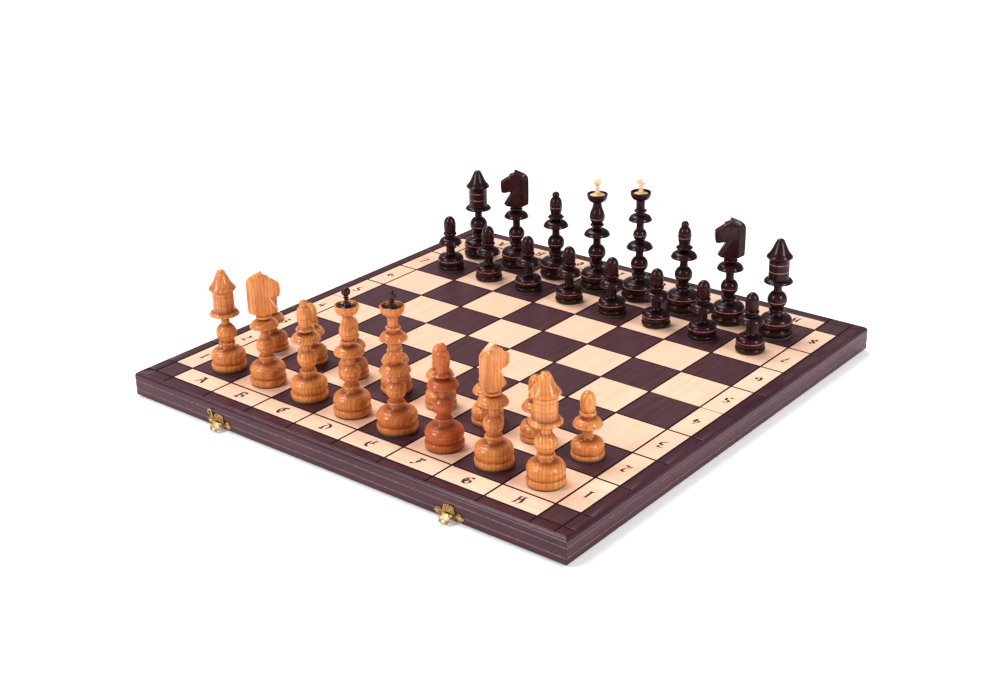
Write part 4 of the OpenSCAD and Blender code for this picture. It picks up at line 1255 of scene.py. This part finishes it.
def build_hasp(body, pivot):
    """One hasp, swung from hanging to its rest angle and kept within the reach of the CAD's hasp."""
    work = bmesh.new()
    add_hasp_sheet(work)
    add_hasp_knuckle(work)
    bmesh.ops.recalc_face_normals(work, faces=work.faces)
    mesh = bpy.data.meshes.new(body + "_tongue")
    work.to_mesh(mesh)
    work.free()
    mesh.materials.append(BRASS)
    shade(mesh, 40)
    low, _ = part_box(body)
    tilt = math.acos(min((pivot.z - low.z) / (HASP_L * MM), 1.0))
    mesh.transform(Matrix.Scale(MM, 4))
    mesh.transform(Matrix.Rotation(-tilt, 4, "X"))
    front = min(v.co.y for v in mesh.vertices)
    mesh.transform(Matrix.Scale(min((low.y - pivot.y) / front, 1.0), 4, (0, 1, 0)))
    make_piece(body + "_tongue", mesh, body, [body], pivot)


def dress_cad_brass():
    """The plain hinge parts, pins, nails and catches keep their CAD shape in brass."""
    for node, made in frame["nodes"].items():
        if node.endswith(("_leaves", "_pins", "_nails", "_plates")) or node == "hinge_pins":
            made.data.materials.clear()
            made.data.materials.append(BRASS)


# ---------------------------------------------------------------- floor, light, camera

def build_stage():
    size = 30.0
    vertices = [(-size, -size, 0), (size, -size, 0), (size, size, 0), (-size, size, 0)]
    s = Shader("floor", Specular_IOR_Level=0.1, Emission_Color=(1, 1, 1, 1), Emission_Strength=0.25)
    speck = s.noise(s.coords(), 90, 3, 0.5)
    white = s.ramp(speck, (0.3, (0.92, 0.92, 0.92, 1)), (0.7, (0.95, 0.95, 0.95, 1)))
    paper = s.finish(white, s.span(speck, 0.8, 0.95))
    mesh = mesh_from("floor", vertices, [(0, 1, 2, 3)], [paper])
    floor = bpy.data.objects.new("floor", mesh)
    bpy.context.scene.collection.objects.link(floor)


def add_light(name, kind, at, aim, power, size):
    """Light of a kind at a place, aimed at a point: size is a sun's angle or an area's two sides."""
    light = bpy.data.lights.new(name, kind)
    light.energy = power
    if kind == "SUN":
        light.angle = math.radians(size)
    else:
        light.shape = "RECTANGLE"
        light.size, light.size_y = size
    lamp = bpy.data.objects.new(name, light)
    bpy.context.scene.collection.objects.link(lamp)
    lamp.location = at
    lamp.rotation_euler = (Vector(aim) - Vector(at)).to_track_quat("-Z", "Y").to_euler()


def build_lights():
    world = bpy.data.worlds.new("studio")
    bpy.context.scene.world = world
    world.use_nodes = True
    sky = world.node_tree.nodes["Background"]
    sky.inputs["Color"].default_value = (1, 1, 1, 1)
    sky.inputs["Strength"].default_value = 0.28
    add_light("overhead", "SUN", (-0.7, 0.25, 1.2), (0, 0, 0), 2.55, 34)
    add_light("left_box", "AREA", (-0.6, -1.3, 1.0), (0, 0, 0.05), 17, (0.5, 0.8))
    add_light("right_box", "AREA", (1.5, 0.0, 0.9), (0, 0, 0.05), 15, (0.4, 0.8))


# The photograph's camera, found from the board's grid: distances are in playing squares from the middle of
# the playing face, angles are in degrees, and the focal length is in picture widths
CAMERA_TURN, CAMERA_RISE, CAMERA_ROLL = 38.88, 23.58, -1.02
CAMERA_DISTANCE = 28.06
CAMERA_AIM = (-0.46, 0.29)
FOCAL_WIDTHS = 1.5274
SENSOR = 36.0


def build_camera():
    turn, rise = math.radians(CAMERA_TURN), math.radians(CAMERA_RISE)
    aim = Vector((CAMERA_AIM[0] * SQUARE, CAMERA_AIM[1] * SQUARE, TOP))
    back = Vector((math.cos(rise) * math.sin(turn), -math.cos(rise) * math.cos(turn), math.sin(rise)))
    place = aim + back * CAMERA_DISTANCE * SQUARE
    right = Vector((0, 0, 1)).cross(back).normalized()
    up = back.cross(right)
    roll = math.radians(CAMERA_ROLL)
    right, up = (math.cos(roll) * right + math.sin(roll) * up, -math.sin(roll) * right + math.cos(roll) * up)
    data = bpy.data.cameras.new("camera")
    data.sensor_width = SENSOR
    data.lens = FOCAL_WIDTHS * SENSOR
    data.clip_start, data.clip_end = 0.05, 50
    camera = bpy.data.objects.new("camera", data)
    bpy.context.scene.collection.objects.link(camera)
    camera.matrix_world = Matrix((
        (right.x, up.x, back.x, place.x), (right.y, up.y, back.y, place.y), (right.z, up.z, back.z, place.z),
        (0, 0, 0, 1)))
    bpy.context.scene.camera = camera


# ---------------------------------------------------------------- build

bpy.context.scene.view_settings.view_transform = "Standard"
build_camera()
build_chessmen()
build_board()
build_latches()
dress_cad_brass()
build_stage()
build_lights()

bpy.context.view_layer.update()
